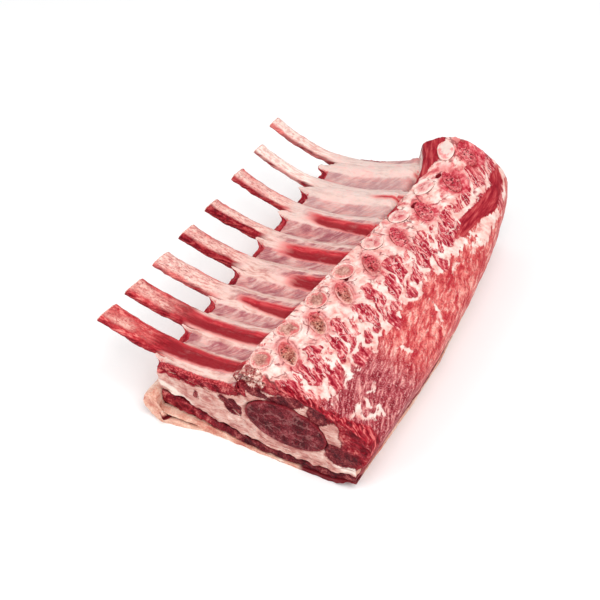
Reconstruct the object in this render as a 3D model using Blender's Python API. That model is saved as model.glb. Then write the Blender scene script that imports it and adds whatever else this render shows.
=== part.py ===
"""Raw rack of lamb: eight frenched ribs on a loin, lying on its fat side.

X runs along the backbone from the shoulder end (-X) to the loin end (+X), the ribs reach out
towards +Y, and +Z is up. The origin is on the flat underside of the fat, where the rack rests.
Lengths below are in millimetres; the mesh data are made in metres.
"""

import math

import bmesh
import bpy
import numpy as np

MM = 0.001
GAP = 0.3  # clearance between two tissues that touch

# --- Driving dimensions -------------------------------------------------------------------------
RIBS = 8
RIB_PITCH = 26.4
LENGTH = 210.0  # shoulder end to loin end
SHOULDER, LOIN = -LENGTH / 2, LENGTH / 2
FIRST_RIB = SHOULDER + 11.5
FRENCH_Y = 55.0  # where the bare part of the ribs begins

# Each table gives a size at stations along X; a smooth curve joins them.
CHINE_Y = ((-105, 7), (-80, 8), (-55, 4.5), (-28, 2.5), (0, -0.8), (50, -4.5), (90, -4), (105, 2.5))
CHINE_Z = ((-105, 60.5), (0, 60), (90, 60), (105, 64.5))
BACK_Y = ((-105, -69), (-50, -70), (0, -68), (45, -64), (90, -55), (105, -50))
BACK_Z = ((-105, 45), (0, 47), (60, 50), (105, 57))
CROWN = ((-105, 4.5), (0, 5), (60, 8), (90, 12), (105, 14))  # rise of the sawn face between its edges
WALL_FOOT_Y = ((-105, -60), (0, -60), (60, -53), (105, -45))
RIB_LOW_Y = ((-105, 42), (105, 58))  # lowest point of the ribs' arc
RIB_LOW_Z = ((-105, 45), (105, 44))
TIP_RISE = ((-105, 0.0036), (-40, 0.0050), (40, 0.0072), (105, 0.0075))  # times distance squared,
CHINE_RISE = ((-105, 0.0045), (0, 0.0030), (105, 0.0040))  # outwards and towards the backbone
STEP_DROP = 11.0  # from the sawn edge down to the inside of the rib cage
STEP_RUN = 2.0
RIB_PROUD = 2.6  # how far the ribs stand above the flesh between them
BACK_FILLET = 6.0
WALL_BULGE = 5.0
END_RAKE = 0.10  # the loin end is cut askew: x falls by this times the distance to the rib side
RAKE_FROM_Y = -30.0
FLAP = 5.0  # the outer fat sticks out of the shoulder end by this much at the rib side
FLAP_Y = (30.0, 60.0)

# Undersides and seams: heights over Y at the shoulder end and at the loin end.
SEAM_SHOULDER = ((-60, 17.5), (-35, 13.5), (-18, 13), (-2, 17), (10, 26), (25, 34), (40, 38), (60, 40))
SEAM_LOIN = ((-60, 14), (-35, 13), (-18, 13), (-2, 14), (10, 22), (25, 30), (40, 35), (60, 37))
CAP_TOP_SHOULDER = ((-60, 13), (-43, 10), (-26, 9), (0, 9.5), (17, 11), (32, 15), (45, 20), (60, 22))
CAP_TOP_LOIN = ((-60, 11), (-20, 9), (0, 9), (30, 12), (60, 18))
CAP_LOW_SHOULDER = ((-60, 8.5), (-43, 4), (-31, 3), (-15, 2.5), (1, 2.5), (17, 4), (39, 7), (60, 10))
CAP_LOW_LOIN = ((-60, 6), (-35, 3), (0, 3), (30, 4), (60, 9))
LAYER_LEFT_Y = 61.0  # where seam fat and cap muscle end under the ribs
FAT_LEFT_Y = 70.5  # the roll of fat that laps past them
FAT_ROLL_Z = 22.0
FAT_EDGE_LIFT = ((-105, 7.0), (105, 4.0))

# The loin eye, an oval rod through the whole rack.
EYE_Y = ((-105, -19), (-80, -20), (0, -24), (105, -23))
EYE_Z = ((-105, 33.5), (-80, 33), (0, 33), (105, 37))
EYE_WIDE = ((-105, 25), (0, 22.5), (105, 20))
EYE_HIGH = ((-105, 17), (0, 16), (105, 16.5))

# Each rib's width, thickness, how far its tip lies past the common line, and the tip's lean.
RIB_WIDTH = (13.0, 12.5, 11.5, 11.0, 9.0, 8.5, 7.0, 7.0)
RIB_THICK = (4.6, 5.0, 4.6, 5.6, 6.4, 5.0, 4.4, 5.0)
TIP_SKEW = 0.18  # slope of the cut across their tips
TIP_FLARE = 0.12  # the flat outer ends are wider by this share
TIP_Y = 95.0
TIP_EXTRA = (4.0, 2.5, 1.5, 1.0, 0.5, 1.0, 2.0, 6.0)
TIP_LEAN = (-0.5, -3.0, -4.0, -4.0, -3.5, 1.0, 1.0, 0.5)
HEAD_LEAN = (2.0, 1.0, 1.0, 0.5, 2.0, 3.5, 4.0, 2.0)
ROW_ONE = ((-105, 6.5), (30, 7), (105, 11))  # rib heads, from the sawn edge in across the face
HEAD_WIDE, HEAD_HIGH = 12.0, 8.0
ROW_TWO = ((-105, 17), (30, 17), (105, 23))  # cut vertebral arches
ARCH_OFFSET = 12.5  # they lie between two rib heads
ARCH_WIDE, ARCH_HIGH, ARCH_DEEP = 13.0, 10.0, 5.0

# Mesh density.
STATIONS, SEAM_STEPS = 15, 13
EYE_SIDES, RIB_SIDES, ARCH_SIDES = 20, 10, 14

COLOURS = {  # base colour, roughness
    "lean": ((0.50, 0.06, 0.07, 1), 0.42),
    "eye": ((0.24, 0.03, 0.04, 1), 0.40),
    "fat": ((0.80, 0.55, 0.45, 1), 0.50),
    "bone": ((0.68, 0.25, 0.22, 1), 0.48),
    "marrow": ((0.55, 0.12, 0.12, 1), 0.55),
}


# --- Small maths --------------------------------------------------------------------------------
def along(table, x):
    """A smooth curve through the table's points, read at x."""
    xs, vs = np.array(table, float).T
    slopes = np.gradient(vs, xs)
    i = int(np.clip(np.searchsorted(xs, x) - 1, 0, len(xs) - 2))
    h = xs[i + 1] - xs[i]
    t = float(np.clip((x - xs[i]) / h, 0, 1))
    ease_in, ease_out = (1 + 2 * t) * (1 - t) ** 2, t * t * (3 - 2 * t)
    return (
        ease_in * vs[i]
        + ease_out * vs[i + 1]
        + h * t * (1 - t) ** 2 * slopes[i]
        + h * t * t * (t - 1) * slopes[i + 1]
    )


def share(x):
    """0 at the shoulder end, 1 at the loin end."""
    return (x - SHOULDER) / LENGTH


def seam(shoulder, loin, x, y):
    """Height of a seam that is drawn at both ends and runs straight between them."""
    s = share(x)
    return (1 - s) * along(shoulder, y) + s * along(loin, y)


def bezier(a, b, c, n):
    """n points on the quadratic curve from a to c, without its last one."""
    a, b, c = map(np.array, (a, b, c))
    return [(1 - t) ** 2 * a + 2 * t * (1 - t) * b + t * t * c for t in np.arange(n) / n]


# --- Surfaces -----------------------------------------------------------------------------------
def chine_edge(x):
    return np.array((along(CHINE_Y, x), along(CHINE_Z, x)))


def back_corner(x):
    return np.array((along(BACK_Y, x), along(BACK_Z, x)))


def face_point(x, v):
    """(y, z) on the sawn face, v 0 at the edge beside the rib cage and 1 at the back."""
    edge, corner = chine_edge(x), back_corner(x)
    across = corner - edge
    out = np.array((across[1], -across[0])) / np.hypot(*across)
    hump = math.sin(math.pi * v**0.85)
    return edge + across * v + out * along(CROWN, x) * hump


def face_at(x, distance):
    """The face's point that far from the edge, with its outward direction."""
    length = np.hypot(*(back_corner(x) - chine_edge(x)))
    v = distance / length
    ahead, behind = face_point(x, v + 0.02), face_point(x, v - 0.02)
    run = (ahead - behind) / np.hypot(*(ahead - behind))
    return face_point(x, v), np.array((run[1], -run[0]))


def rib_height(x, y):
    """Height of the ribs' upper side."""
    distance = y - along(RIB_LOW_Y, x)
    rise = along(TIP_RISE if distance > 0 else CHINE_RISE, x)
    return along(RIB_LOW_Z, x) + rise * distance**2


def seam_ys(x):
    """Where the seams are sampled, from the foot of the back wall to the rib side."""
    return np.linspace(along(WALL_FOOT_Y, x), LAYER_LEFT_Y, SEAM_STEPS)


def body_outline(x):
    """Closed outline of the flesh at x, from the foot of the back wall round over the top."""
    edge, corner = chine_edge(x), back_corner(x)
    foot_y = along(WALL_FOOT_Y, x)
    foot = np.array((foot_y, seam(SEAM_SHOULDER, SEAM_LOIN, x, foot_y) + GAP))
    wall_top = corner - np.array((1.0, BACK_FILLET))
    wall_bend = (foot + wall_top) / 2 - np.array((WALL_BULGE, 0))
    fillet_end = face_point(x, 1 - BACK_FILLET / np.hypot(*(corner - edge)))
    trough = np.array((edge[0] + STEP_RUN, edge[1] - STEP_DROP))
    outline = bezier(foot, wall_bend, wall_top, 4) + bezier(wall_top, corner, fillet_end, 4)
    last = 1 - BACK_FILLET / np.hypot(*(corner - edge))
    outline += [face_point(x, v) for v in np.linspace(last, 0, 8)]
    outline += [trough]
    for y in np.linspace(trough[0] + 6, FRENCH_Y, 6):
        outline.append(np.array((y, rib_height(x, y) - RIB_PROUD)))
    for y in seam_ys(x)[:0:-1]:
        outline.append(np.array((y, seam(SEAM_SHOULDER, SEAM_LOIN, x, y) + GAP)))
    return outline


def eye_outline(x, sides, grow=0.0):
    """The loin eye's oval at x."""
    wide, high = along(EYE_WIDE, x) + grow, along(EYE_HIGH, x) + grow
    return [
        np.array((along(EYE_Y, x) + wide * math.cos(a), along(EYE_Z, x) + high * math.sin(a)))
        for a in 2 * math.pi * np.arange(sides) / sides
    ]


# --- Mesh makers --------------------------------------------------------------------------------
def collection(name, hidden=False):
    made = bpy.data.collections.new(name)
    made.hide_render = hidden
    bpy.context.scene.collection.children.link(made)
    return made


def material(name):
    colour, roughness = COLOURS[name]
    made = bpy.data.materials.new(name)
    made.use_nodes = True
    shader = made.node_tree.nodes["Principled BSDF"]
    shader.inputs["Base Color"].default_value = colour
    shader.inputs["Roughness"].default_value = roughness
    return made


def ease(value, low, high):
    t = min(max((value - low) / (high - low), 0.0), 1.0)
    return t * t * (3 - 2 * t)


def end_cut(x, y, z):
    """Moves a point of the flesh along X to set the loin end askew."""
    return x - END_RAKE * (y - RAKE_FROM_Y) * max(share(x), 0.0) ** 3, y, z


def loft(name, rings, group, finish):
    """A closed solid through rings of points (in mm) with equal counts, capped at both ends."""
    bm = bmesh.new()
    rows = [[bm.verts.new([float(c) * MM for c in p]) for p in ring] for ring in rings]
    for near, far in zip(rows, rows[1:]):
        for i in range(len(near)):
            j = (i + 1) % len(near)
            bm.faces.new((near[i], near[j], far[j], far[i]))
    bm.faces.new(rows[0])
    bm.faces.new(rows[-1])
    bmesh.ops.triangulate(bm, faces=bm.faces, quad_method="SHORT_EDGE")
    bmesh.ops.recalc_face_normals(bm, faces=bm.faces)
    mesh = bpy.data.meshes.new(name)
    bm.to_mesh(mesh)
    bm.free()
    mesh.shade_smooth()
    mesh.set_sharp_from_angle(angle=math.radians(40))
    made = bpy.data.objects.new(name, mesh)
    group.objects.link(made)
    mesh.materials.append(finish)
    return made


def cut(target, cutter):
    """Takes the cutter's shape out of the target."""
    cutter.hide_render = True
    cutter.display_type = "WIRE"
    modifier = target.modifiers.new("cut_" + cutter.name, "BOOLEAN")
    modifier.operation = "DIFFERENCE"
    modifier.object = cutter


def stations(overrun=0.0):
    return np.linspace(SHOULDER - overrun, LOIN + overrun, STATIONS)


def clamp(x):
    return min(max(x, SHOULDER), LOIN)


# --- The flesh ----------------------------------------------------------------------------------
def make_lean(group, finish):
    rings = [[end_cut(x, *p) for p in body_outline(x)] for x in stations()]
    return loft("lean_body", rings, group, finish)


def make_eye(name, group, finish, grow=0.0, overrun=0.0):
    rings = [
        [end_cut(x, *p) for p in eye_outline(clamp(x), EYE_SIDES, grow)]
        for x in stations(overrun)
    ]
    return loft(name, rings, group, finish)


def make_layer(name, low, high, group, finish):
    """A layer between two surfaces z = low(x, y) and z = high(x, y)."""
    rings = []
    for x in stations():
        ys = seam_ys(x)
        ring = [(x, y, high(x, y)) for y in ys] + [(x, y, low(x, y)) for y in ys[::-1]]
        rings.append([end_cut(*p) for p in ring])
    return loft(name, rings, group, finish)


def cap_low(x, y):
    return seam(CAP_LOW_SHOULDER, CAP_LOW_LOIN, x, y)


def cap_top(x, y):
    return seam(CAP_TOP_SHOULDER, CAP_TOP_LOIN, x, y)


def fat_ring(x):
    """The outer fat: flat below, lifted at the back, with a round roll past the other layers."""
    ys = seam_ys(x)
    back = ys[0]
    flat_from = back + 16
    top = [(x, y, cap_low(x, y) - GAP) for y in ys]
    roll_y = FAT_LEFT_Y - 7
    roll = [
        (x, LAYER_LEFT_Y + GAP, FAT_ROLL_Z - 4),
        (x, roll_y, FAT_ROLL_Z),
        (x, FAT_LEFT_Y - 2, FAT_ROLL_Z - 4),
        (x, FAT_LEFT_Y, FAT_ROLL_Z / 2),
        (x, FAT_LEFT_Y - 2, 2.5),
        (x, FAT_LEFT_Y - 7, 0),
    ]
    under = [(x, y, 0) for y in np.linspace(LAYER_LEFT_Y - 12, flat_from, 6)]
    ring = top + roll + under + [(x, back, along(FAT_EDGE_LIFT, x))]
    flap = FLAP * (1 - share(x)) ** 8
    return [end_cut(px - flap * ease(y, *FLAP_Y), y, z) for px, y, z in ring]


# --- The bones ----------------------------------------------------------------------------------
def rib_x(index):
    return FIRST_RIB + RIB_PITCH * index


def rib_head(index):
    """Centre of the cut rib head on the sawn face, and the way it faces."""
    x = rib_x(index)
    return face_at(x, along(ROW_ONE, x))


def rib_path(index, overrun=0.0):
    """Points (x, y, z), half width and half thickness from the tip to the cut head.

    With an overrun the path goes on straight out of the sawn face.
    """
    x = rib_x(index)
    half_wide, half_thick = RIB_WIDTH[index] / 2, RIB_THICK[index] / 2
    head, out = rib_head(index)
    turn_y = along(CHINE_Y, x) + STEP_RUN + 8
    path = []
    tip = TIP_Y + TIP_EXTRA[index]
    for y in np.linspace(tip, turn_y, 9):
        outward = (y - turn_y) / (tip - turn_y)
        lean = TIP_LEAN[index] * outward**2
        wide = half_wide * (1 + TIP_FLARE * outward)
        path.append(((x + lean, y, rib_height(x, y) - half_thick), wide, half_thick))
    start = np.array(path[-1][0][1:])
    bend = head - out * (head[1] - start[1] - 1.0) / out[1]
    head_x = x + HEAD_LEAN[index]
    for t in (0.35, 0.7):
        point = (1 - t) ** 2 * start + 2 * t * (1 - t) * bend + t * t * head
        grown = half_wide + (HEAD_WIDE / 2 - half_wide) * t
        path.append(((x + HEAD_LEAN[index] * t, *point), grown, half_thick + (HEAD_HIGH / 2 - half_thick) * t))
    path.append(((head_x, *head), HEAD_WIDE / 2, HEAD_HIGH / 2))
    if overrun:
        path.append(((head_x, *(head + out * overrun)), HEAD_WIDE / 2, HEAD_HIGH / 2))
    return path


def make_rib(name, index, group, finish, grow=0.0, overrun=0.0):
    path = rib_path(index, overrun)
    points = np.array([p for p, _, _ in path])
    _, out = rib_head(index)
    head_at = len(path) - (2 if overrun else 1)
    rings = []
    for i, (point, wide, thick) in enumerate(path):
        run = points[min(i + 1, head_at)] - points[max(i - 1, 0)]
        if i >= head_at:
            run = np.array((0, *out))
        run = run / np.linalg.norm(run)
        side = np.cross(run, (1, 0, 0))
        side = side / np.linalg.norm(side)
        ring = []
        for a in 2 * math.pi * np.arange(RIB_SIDES) / RIB_SIDES:
            offset = np.array((1, -TIP_SKEW if i == 0 else 0, 0)) * (wide + grow) * math.cos(a)
            ring.append(np.array(point) + offset + side * (thick + grow) * math.sin(a))
        rings.append(ring)
    return loft(name, rings, group, finish)


def make_arch(name, index, group, finish, grow=0.0, overrun=0.0):
    """A vertebral arch, cut flush with the sawn face."""
    x = min(rib_x(index) + ARCH_OFFSET, LOIN - 7.5)
    centre, out = face_at(x, along(ROW_TWO, x))
    across = np.array((-out[1], out[0]))
    rings = []
    for depth, size in ((-ARCH_DEEP - grow, 0.8), (-ARCH_DEEP / 2, 1.0), (overrun, 1.0)):
        ring = []
        for a in 2 * math.pi * np.arange(ARCH_SIDES) / ARCH_SIDES:
            wide = (ARCH_WIDE / 2 * size + grow) * math.cos(a)
            high = (ARCH_HIGH / 2 * size + grow) * math.sin(a)
            ring.append((x + wide, *(centre + across * high + out * depth)))
        rings.append(ring)
    return loft(name, rings, group, finish)


def middle(group):
    """Middle of the group's bounding box in plan."""
    corners = [v.co for made in group.objects for v in made.data.vertices]
    low, high = np.min(corners, axis=0), np.max(corners, axis=0)
    return (low[:2] + high[:2]) / 2


def main():
    for old in list(bpy.data.objects):
        bpy.data.objects.remove(old)
    finishes = {name: material(name) for name in COLOURS}
    rack = collection("rack_of_lamb")
    cutters = collection("cutters", hidden=True)

    lean = make_lean(rack, finishes["lean"])
    make_eye("eye_muscle", rack, finishes["eye"])
    cut(lean, make_eye("eye_tunnel", cutters, finishes["eye"], grow=GAP, overrun=4))

    make_layer(
        "seam_fat",
        lambda x, y: cap_top(x, y) + GAP,
        lambda x, y: seam(SEAM_SHOULDER, SEAM_LOIN, x, y),
        rack,
        finishes["fat"],
    )
    make_layer("cap_muscle", cap_low, cap_top, rack, finishes["eye"])
    loft("fat_cap", [fat_ring(x) for x in stations()], rack, finishes["fat"])

    for index in range(RIBS):
        number = index + 1
        make_rib(f"rib_{number}", index, rack, finishes["bone"])
        cut(lean, make_rib(f"rib_groove_{number}", index, cutters, finishes["bone"], GAP, 3))
        make_arch(f"vertebra_{number}", index, rack, finishes["marrow"])
        cut(lean, make_arch(f"socket_{number}", index, cutters, finishes["marrow"], GAP, 3))

    centre = middle(rack)
    for made in (*rack.objects, *cutters.objects):
        made.location = (-centre[0], -centre[1], 0)


main()
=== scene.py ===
"""Raw rack of lamb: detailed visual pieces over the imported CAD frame.

Shapes are worked out in millimetres with X along the backbone (shoulder end to loin end), the ribs
towards +Y and the table at Z = 0, then moved into the row frame.
"""

import functools
import math

import bmesh
import bpy
import numpy as np
from mathutils import Matrix, Vector


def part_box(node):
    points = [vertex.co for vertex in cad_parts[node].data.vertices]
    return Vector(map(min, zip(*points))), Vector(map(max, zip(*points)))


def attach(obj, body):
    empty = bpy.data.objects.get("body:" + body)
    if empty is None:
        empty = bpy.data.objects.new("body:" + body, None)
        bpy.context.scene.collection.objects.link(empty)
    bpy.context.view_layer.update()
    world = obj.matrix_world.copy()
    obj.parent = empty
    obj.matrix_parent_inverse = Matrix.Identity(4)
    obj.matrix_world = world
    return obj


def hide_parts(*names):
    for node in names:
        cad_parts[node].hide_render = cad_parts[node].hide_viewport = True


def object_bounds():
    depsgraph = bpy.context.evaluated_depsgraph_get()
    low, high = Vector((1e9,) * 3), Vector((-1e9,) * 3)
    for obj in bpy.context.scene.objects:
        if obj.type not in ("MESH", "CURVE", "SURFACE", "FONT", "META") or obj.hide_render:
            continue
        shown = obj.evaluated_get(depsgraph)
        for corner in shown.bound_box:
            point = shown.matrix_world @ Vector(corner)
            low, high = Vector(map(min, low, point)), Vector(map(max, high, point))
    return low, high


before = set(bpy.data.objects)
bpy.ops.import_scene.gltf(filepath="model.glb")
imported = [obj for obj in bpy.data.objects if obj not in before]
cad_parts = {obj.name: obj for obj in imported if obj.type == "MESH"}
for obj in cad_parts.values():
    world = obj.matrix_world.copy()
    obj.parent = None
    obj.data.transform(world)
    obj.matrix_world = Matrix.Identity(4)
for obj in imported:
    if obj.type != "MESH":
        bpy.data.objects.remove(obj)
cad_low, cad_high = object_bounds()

MM = 0.001
TINY = 1e-6
OUTSIDE = -9.0  # what a field holds well outside its shapes

# --- Dimensions of the rack, in mm. A table gives a value along X, from shoulder to loin. ----------
RIBS, RIB_PITCH, LENGTH = 8, 26.4, 210.0
SHOULDER, LOIN = -LENGTH / 2, LENGTH / 2
FIRST_RIB = SHOULDER + 11.5
CHINE_Y = ((-105, 7), (-80, 8), (-55, 4.5), (-28, 2.5), (0, -0.8), (50, -4.5), (90, -4), (105, 2.5))
CHINE_Z = ((-105, 60.5), (0, 60), (90, 60), (105, 64.5))
BACK_Y = ((-105, -69), (-50, -70), (0, -68), (45, -64), (90, -55), (105, -50))
BACK_Z = ((-105, 45), (0, 47), (60, 50), (105, 57))
CROWN = ((-105, 4.5), (0, 5), (60, 8), (90, 12), (105, 14))
WALL_FOOT_Y = ((-105, -60), (0, -60), (60, -53), (105, -45))
RIB_LOW_Y = ((-105, 42), (105, 58))
RIB_LOW_Z = ((-105, 45), (105, 44))
TIP_RISE = ((-105, 0.0036), (-40, 0.0050), (40, 0.0072), (105, 0.0075))
CHINE_RISE = ((-105, 0.0045), (0, 0.0030), (105, 0.0040))
FAT_EDGE_LIFT = ((-105, 7.0), (105, 4.0))
EYE_Y = ((-105, -19), (-80, -20), (0, -24), (105, -23))
EYE_Z = ((-105, 32.3), (-80, 32.5), (0, 33), (105, 37))
EYE_WIDE = ((-105, 25), (0, 22.5), (105, 20))
EYE_HIGH = ((-105, 15.6), (0, 16), (105, 16.5))
ROW_ONE = ((-105, 6.5), (30, 7), (70, 8.6), (105, 16))
ROW_TWO = ((-105, 17), (30, 17), (70, 20), (105, 28))

# Height of each seam between layers along Y, at the shoulder end and at the loin end.
SEAM = (
    ((-60, 17.5), (-35, 13.5), (-18, 13), (-2, 17), (10, 26), (25, 34), (40, 38), (60, 40)),
    ((-60, 14), (-35, 13), (-18, 13), (-2, 14), (10, 22), (25, 30), (40, 35), (60, 37)),
)
CAP_TOP = (
    ((-60, 13), (-43, 10), (-26, 9), (0, 9.5), (17, 11), (32, 15), (45, 20), (60, 22)),
    ((-60, 11), (-20, 9), (0, 9), (30, 12), (60, 18)),
)
CAP_LOW = (
    ((-60, 8.5), (-43, 4), (-31, 3), (-15, 2.5), (1, 2.5), (17, 4), (39, 7), (60, 10)),
    ((-60, 6), (-35, 3), (0, 3), (30, 4), (60, 9)),
)

FRENCH_Y, LAYER_LEFT_Y, FAT_LEFT_Y, FAT_ROLL_Z = 55.0, 61.0, 70.5, 22.0
STEP_DROP, STEP_RUN, RIB_PROUD = 11.0, 2.0, 2.6
BACK_FILLET, WALL_BULGE = 6.0, 5.0
END_RAKE, RAKE_FROM_Y = 0.10, -30.0
FLAP, FLAP_Y = 5.0, (30.0, 60.0)
RIB_TURN = 8.0
RIB_WIDTH = (13.0, 12.5, 11.5, 11.0, 9.0, 8.5, 7.0, 7.0)
RIB_THICK = (4.6, 5.0, 4.6, 5.6, 6.4, 5.0, 4.4, 5.0)
TIP_SKEW, TIP_FLARE, TIP_Y = 0.18, 0.12, 95.0
TIP_EXTRA = (4.0, 2.5, 1.5, 1.0, 0.5, 1.0, 2.0, 6.0)
TIP_LEAN = (-0.5, -3.0, -4.0, -4.0, -3.5, 1.0, 1.0, 0.5)
HEAD_LEAN = (2.0, 1.0, 1.0, 0.5, 2.0, 3.5, 4.5, 4.5)
HEAD_WIDE, HEAD_HIGH = 12.0, 8.0
ARCH_OFFSET, ARCH_WIDE, ARCH_HIGH, ARCH_DEEP, ARCH_TILT = 12.5, 19.5, 9.6, 4.0, -49.0

# Where the shapes above land in the row frame.
SHIFT = np.array((
    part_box("lean_body")[0].x / MM - SHOULDER,
    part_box("fat_cap")[1].y / MM - FAT_LEFT_Y,
    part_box("fat_cap")[0].z / MM,
))


# --- Small maths, all on arrays -----------------------------------------------------------------
def along(table, x):
    """A smooth curve through the table's points, read at x."""
    xs, vs = np.array(table, float).T
    slopes = np.gradient(vs, xs)
    x = np.asarray(x, float)
    i = np.clip(np.searchsorted(xs, x) - 1, 0, len(xs) - 2)
    h = xs[i + 1] - xs[i]
    t = np.clip((x - xs[i]) / h, 0, 1)
    level = (1 + 2 * t) * (1 - t) ** 2 * vs[i] + t * t * (3 - 2 * t) * vs[i + 1]
    return level + h * t * (1 - t) ** 2 * slopes[i] + h * t * t * (t - 1) * slopes[i + 1]


def share(x):
    return (x - SHOULDER) / LENGTH


def smooth(value, low, high):
    t = np.clip((value - low) / (high - low), 0.0, 1.0)
    return t * t * (3 - 2 * t)


def curve3(a, b, c, t):
    """Quadratic curve through pairs of arrays (y, z)."""
    return tuple((1 - t) ** 2 * a[k] + 2 * t * (1 - t) * b[k] + t * t * c[k] for k in (0, 1))


def scatter(ix, iy, iz, seed):
    """A fixed number from 0 to 1 for each whole-number place."""
    h = (ix * 73856093) ^ (iy * 19349663) ^ (iz * 83492791) ^ (seed * 374761393)
    h = (h & 0xFFFFFFFF) * 1274126177 & 0xFFFFFFFF
    h = (h ^ (h >> 15)) * 2246822519 & 0xFFFFFFFF
    return ((h ^ (h >> 13)) & 0xFFFF) / 65535.0


def noise(x, y, z, size, seed=0, octaves=2):
    """Smooth noise, about -1 to 1, with bumps of that size."""
    total, weight, gain = 0.0, 0.0, 1.0
    for octave in range(octaves):
        px, py, pz = x / size + 7.3 * octave, y / size + 3.1 * octave, z / size + 5.7 * octave
        ix, iy, iz = (np.floor(p).astype(np.int64) for p in (px, py, pz))
        fx, fy, fz = (smooth(p - np.floor(p), 0, 1) for p in (px, py, pz))
        value = 0.0
        for dx, dy, dz in np.ndindex(2, 2, 2):
            w = (fx if dx else 1 - fx) * (fy if dy else 1 - fy) * (fz if dz else 1 - fz)
            value = value + w * scatter(ix + dx, iy + dy, iz + dz, seed + octave)
        total = total + gain * (2 * value - 1)
        weight += gain
        gain *= 0.5
        size = size / 2
    return total / weight * 1.5


def flat_noise(p, q, size, seed, octaves=2):
    return noise(p, q, 0 * p, size, seed, octaves)


def wavy(value, p, q, seed):
    """The value pushed about by coarse and fine noise over (p, q)."""
    return value + 2.6 * flat_noise(p, q, 11, seed) + 1.2 * flat_noise(p, q, 4, seed + 1)


def oval(p, q, cp, cq, rp, rq, tilt=0.0):
    """Rough distance inside (+) or outside (-) an ellipse; tilt turns its long axis, in degrees."""
    c, s = math.cos(math.radians(tilt)), math.sin(math.radians(tilt))
    a, b = (p - cp) * c + (q - cq) * s, -(p - cp) * s + (q - cq) * c
    return (1 - np.sqrt((a / rp) ** 2 + (b / rq) ** 2 + 1e-9)) * np.minimum(rp, rq)


def union(*fields):
    return functools.reduce(np.maximum, fields)


def ovals(p, q, patches):
    return union(*(oval(p, q, *patch) for patch in patches))


def turns(sides):
    """Angles evenly round a circle."""
    return 2 * math.pi * np.arange(sides) / sides


# --- Surfaces of the rack -----------------------------------------------------------------------
def seam(tables, x, y):
    """Height of a seam between layers, wavering a little as real seams do."""
    s = share(x)
    shoulder, loin = (along(table, y) for table in tables)
    return (1 - s) * shoulder + s * loin + 0.8 * flat_noise(x, y, 15, 2)


def edge_at(x):
    return along(CHINE_Y, x), along(CHINE_Z, x)


def corner_at(x):
    return along(BACK_Y, x), along(BACK_Z, x)


def face_point(x, v):
    """(y, z) on the sawn face: v 0 at the rib cage's side, 1 at the back."""
    (ey, ez), (cy, cz) = edge_at(x), corner_at(x)
    dy, dz = cy - ey, cz - ez
    length = np.hypot(dy, dz)
    hump = along(CROWN, x) * np.sin(math.pi * np.clip(v, 0, 1) ** 0.85)
    return ey + dy * v + dz / length * hump, ez + dz * v - dy / length * hump


def face_length(x):
    (ey, ez), (cy, cz) = edge_at(x), corner_at(x)
    return np.hypot(cy - ey, cz - ez)


def face_at(x, distance):
    """The face's point that far from the sawn edge, and its outward direction."""
    v = distance / face_length(x)
    (ay, az), (by, bz) = face_point(x, v + 0.02), face_point(x, v - 0.02)
    run = np.hypot(ay - by, az - bz)
    return face_point(x, v), ((az - bz) / run, -(ay - by) / run)


def face_end(x):
    """How far over the face, 0 to 1, its rounded back corner begins."""
    return 1 - BACK_FILLET / face_length(x)


def wall_top(x):
    cy, cz = corner_at(x)
    return cy - 1.0, cz - BACK_FILLET


def fillet(x, t):
    """(y, z) round the back corner: t 0 at the wall, 1 at the sawn face."""
    return curve3(wall_top(x), corner_at(x), face_point(x, face_end(x)), t)


def eye_oval(x, y, z):
    return oval(y, z, *(along(table, x) for table in (EYE_Y, EYE_Z, EYE_WIDE, EYE_HIGH)))


def end_cut(x, y):
    return x - END_RAKE * (y - RAKE_FROM_Y) * np.maximum(share(x), 0.0) ** 3


def rib_height(x, y):
    distance = y - along(RIB_LOW_Y, x)
    rise = np.where(distance > 0, along(TIP_RISE, x), along(CHINE_RISE, x))
    return along(RIB_LOW_Z, x) + rise * distance**2


def rib_x(index):
    return FIRST_RIB + RIB_PITCH * index


def arch_x(index):
    return min(rib_x(index) + ARCH_OFFSET, LOIN - 7.5)


def turn_y(index):
    """Where a rib turns from the cage up to its head."""
    return along(CHINE_Y, rib_x(index)) + STEP_RUN + RIB_TURN


def rib_lean(index, y):
    """How far a rib leans along X at y, and how far out y is, from 0 at the turn to 1 at the tip."""
    turn = turn_y(index)
    outward = np.clip((y - turn) / (TIP_Y + TIP_EXTRA[index] - turn), 0, 1)
    return TIP_LEAN[index] * outward**2, outward


# --- Mesh makers --------------------------------------------------------------------------------
# Each side of a box lattice: the axis it faces along, and 0 at that axis's start or 1 at its end.
SIDES = {"near": (0, 0), "far": (0, 1), "back": (1, 0), "ribs": (1, 1), "bottom": (2, 0), "top": (2, 1)}


def side_faces(counts, side, step):
    """Faces of one side of a box lattice, step cells wide each way but fine along the side's rim."""
    axis, end = SIDES[side]
    p_axis, q_axis = [k for k in range(3) if k != axis]
    p_count, q_count = counts[p_axis], counts[q_axis]

    def flat(p, q):
        at = [0, 0, 0]
        at[axis], at[p_axis], at[q_axis] = end * counts[axis], p, q
        return (at[0] * (counts[1] + 1) + at[1]) * (counts[2] + 1) + at[2]

    def run(start, stop, on_rim):
        if on_rim:
            return range(start, stop, 1 if stop > start else -1)
        return (start,)

    faces = []
    for p in range(0, p_count, step[0]):
        p_end = min(p + step[0], p_count)
        for q in range(0, q_count, step[1]):
            q_end = min(q + step[1], q_count)
            loop = [flat(i, q) for i in run(p, p_end, q == 0)]
            loop += [flat(p_end, i) for i in run(q, q_end, p_end == p_count)]
            loop += [flat(i, q_end) for i in run(p_end, p, q_end == q_count)]
            loop += [flat(p, i) for i in run(q_end, q, p == 0)]
            faces.append(loop)
    return faces


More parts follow.
